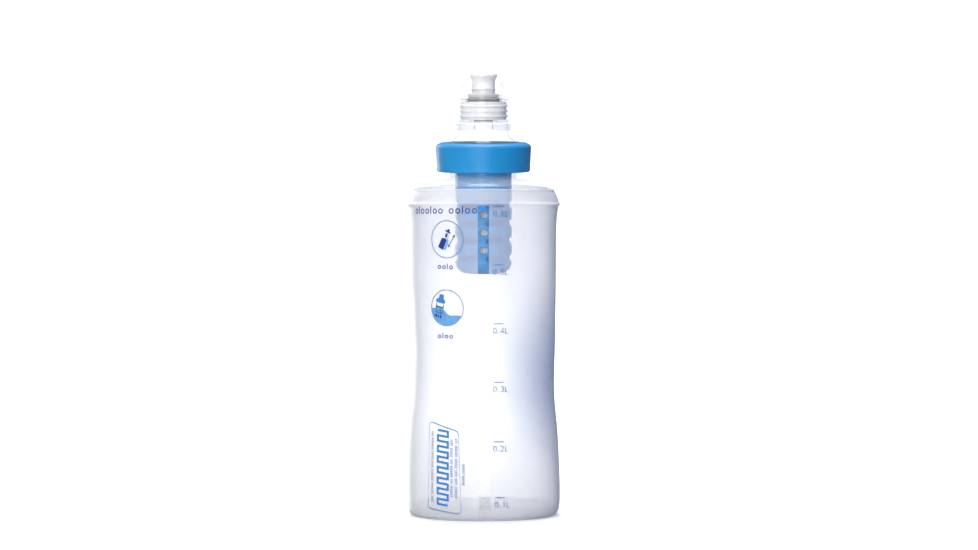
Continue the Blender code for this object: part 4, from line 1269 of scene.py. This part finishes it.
def floor():
    """Pale seamless floor, lit by the lamps near the flask and glowing beyond their reach."""
    half_width = 40.0
    bm = bmesh.new()
    bmesh.ops.create_grid(bm, x_segments=1, y_segments=1, size=half_width)
    mesh = bpy.data.meshes.new("floor")
    bm.to_mesh(mesh)
    bm.free()
    made, n = new_tree("pale_floor")
    drift = n.ranged(n.noise(3.0), 0.90, 0.93, 0.3, 0.7)
    tint = n.add('ShaderNodeCombineColor', Red=drift, Green=drift, Blue=drift)
    paper = n.add('ShaderNodeBsdfDiffuse', Color=tint.outputs[0])
    place = n.add('ShaderNodeTexCoord').outputs["Object"]
    away = n.add('ShaderNodeVectorMath', {"operation": 'LENGTH'}, Vector=place)
    strength = n.ranged(away.outputs["Value"], 0.12, 1.05, 0.10, 0.55)
    glow = n.add('ShaderNodeEmission', Color=(1.0, 1.0, 1.0), Strength=strength)
    both = n.add('ShaderNodeAddShader')
    n.put(both.inputs[0], paper.outputs[0])
    n.put(both.inputs[1], glow.outputs[0])
    n.output(both.outputs[0])
    mesh.materials.append(made)
    obj = linked("floor", mesh)
    obj.visible_diffuse = False
    obj.visible_glossy = False


def world_light():
    """White to the eye. As light it is bright from the left and above, and bluer to the right."""
    world = bpy.data.worlds.new("studio")
    world.use_nodes = True
    bpy.context.scene.world = world
    n = Nodes(world.node_tree)
    place = n.add('ShaderNodeTexCoord')
    axes = n.add('ShaderNodeSeparateXYZ', Vector=place.outputs["Generated"])
    side = n.ranged(axes.outputs["X"], 0.42, 0.26, -0.9, 0.5)
    above = n.ranged(axes.outputs["Z"], 0.0, 0.40, 0.2, 0.9)
    strength = n.math('ADD', side, above)
    shade = n.ranged(axes.outputs["X"], 0.0, 1.0, -0.4, 0.6)
    colour = n.mix_colour(shade, (0.98, 0.98, 1.0), (0.66, 0.74, 1.0))
    seen = n.add('ShaderNodeLightPath').outputs["Is Camera Ray"]
    light = n.add('ShaderNodeBackground', Color=colour, Strength=strength)
    white = n.add('ShaderNodeBackground', Color=(1.0, 1.0, 1.0), Strength=1.0)
    node = n.tree.nodes.new('ShaderNodeOutputWorld')
    n.put(node.inputs["Surface"], n.mix_shader(seen, light.outputs[0], white.outputs[0]))


def area_light(name, place, aim, size, power, mirrored=True, spread=180):
    """A soft lamp with its beam's angle in degrees. One that isn't mirrored shows in no gloss."""
    data = bpy.data.lights.new(name, 'AREA')
    data.shape = 'RECTANGLE'
    data.size, data.size_y = size
    data.energy = power
    data.spread = math.radians(spread)
    obj = linked(name, data)
    obj.location = place
    obj.rotation_euler = (Vector(aim) - Vector(place)).to_track_quat('-Z', 'Y').to_euler()
    obj.visible_glossy = mirrored


def camera():
    """Long lens at the photograph's angle, the flask's axis a little left of the middle."""
    elevation = math.radians(3.5)
    lens = 200.0
    sensor = 36.0
    frame_width = 0.494
    aim = Vector((2.8 * MM, 0.0, 121.7 * MM))
    distance = frame_width * lens / sensor
    data = bpy.data.cameras.new("camera")
    data.lens = lens
    data.sensor_width = sensor
    data.clip_end = 200.0
    obj = linked("camera", data)
    obj.location = aim + Vector((0.0, -math.cos(elevation), math.sin(elevation))) * distance
    obj.rotation_euler = (aim - obj.location).to_track_quat('-Z', 'Y').to_euler()
    bpy.context.scene.camera = obj


floor()
world_light()
area_light("key_light", (-0.32, -1.8, 0.42), (0.0, 0.0, 0.12), (1.0, 1.0), 17.5, mirrored=False)
area_light("nozzle_light", (-0.12, -0.60, 0.62), (0.0, 0.0, 0.21), (0.5, 0.4), 0.28,
           mirrored=False, spread=60)
area_light("sheen_light", (-0.25, -1.8, 0.35), (0.0, 0.0, 0.12), (0.9, 1.4), 5.0)
area_light("edge_light", (-1.0, 1.6, 0.3), (0.0, 0.0, 0.12), (0.5, 1.4), 8.0)
area_light("top_light", (0.0, 0.35, 1.7), (0.0, 0.0, 0.1), (0.6, 0.8), 20.0)
camera()
bpy.context.scene.view_settings.view_transform = 'Standard'
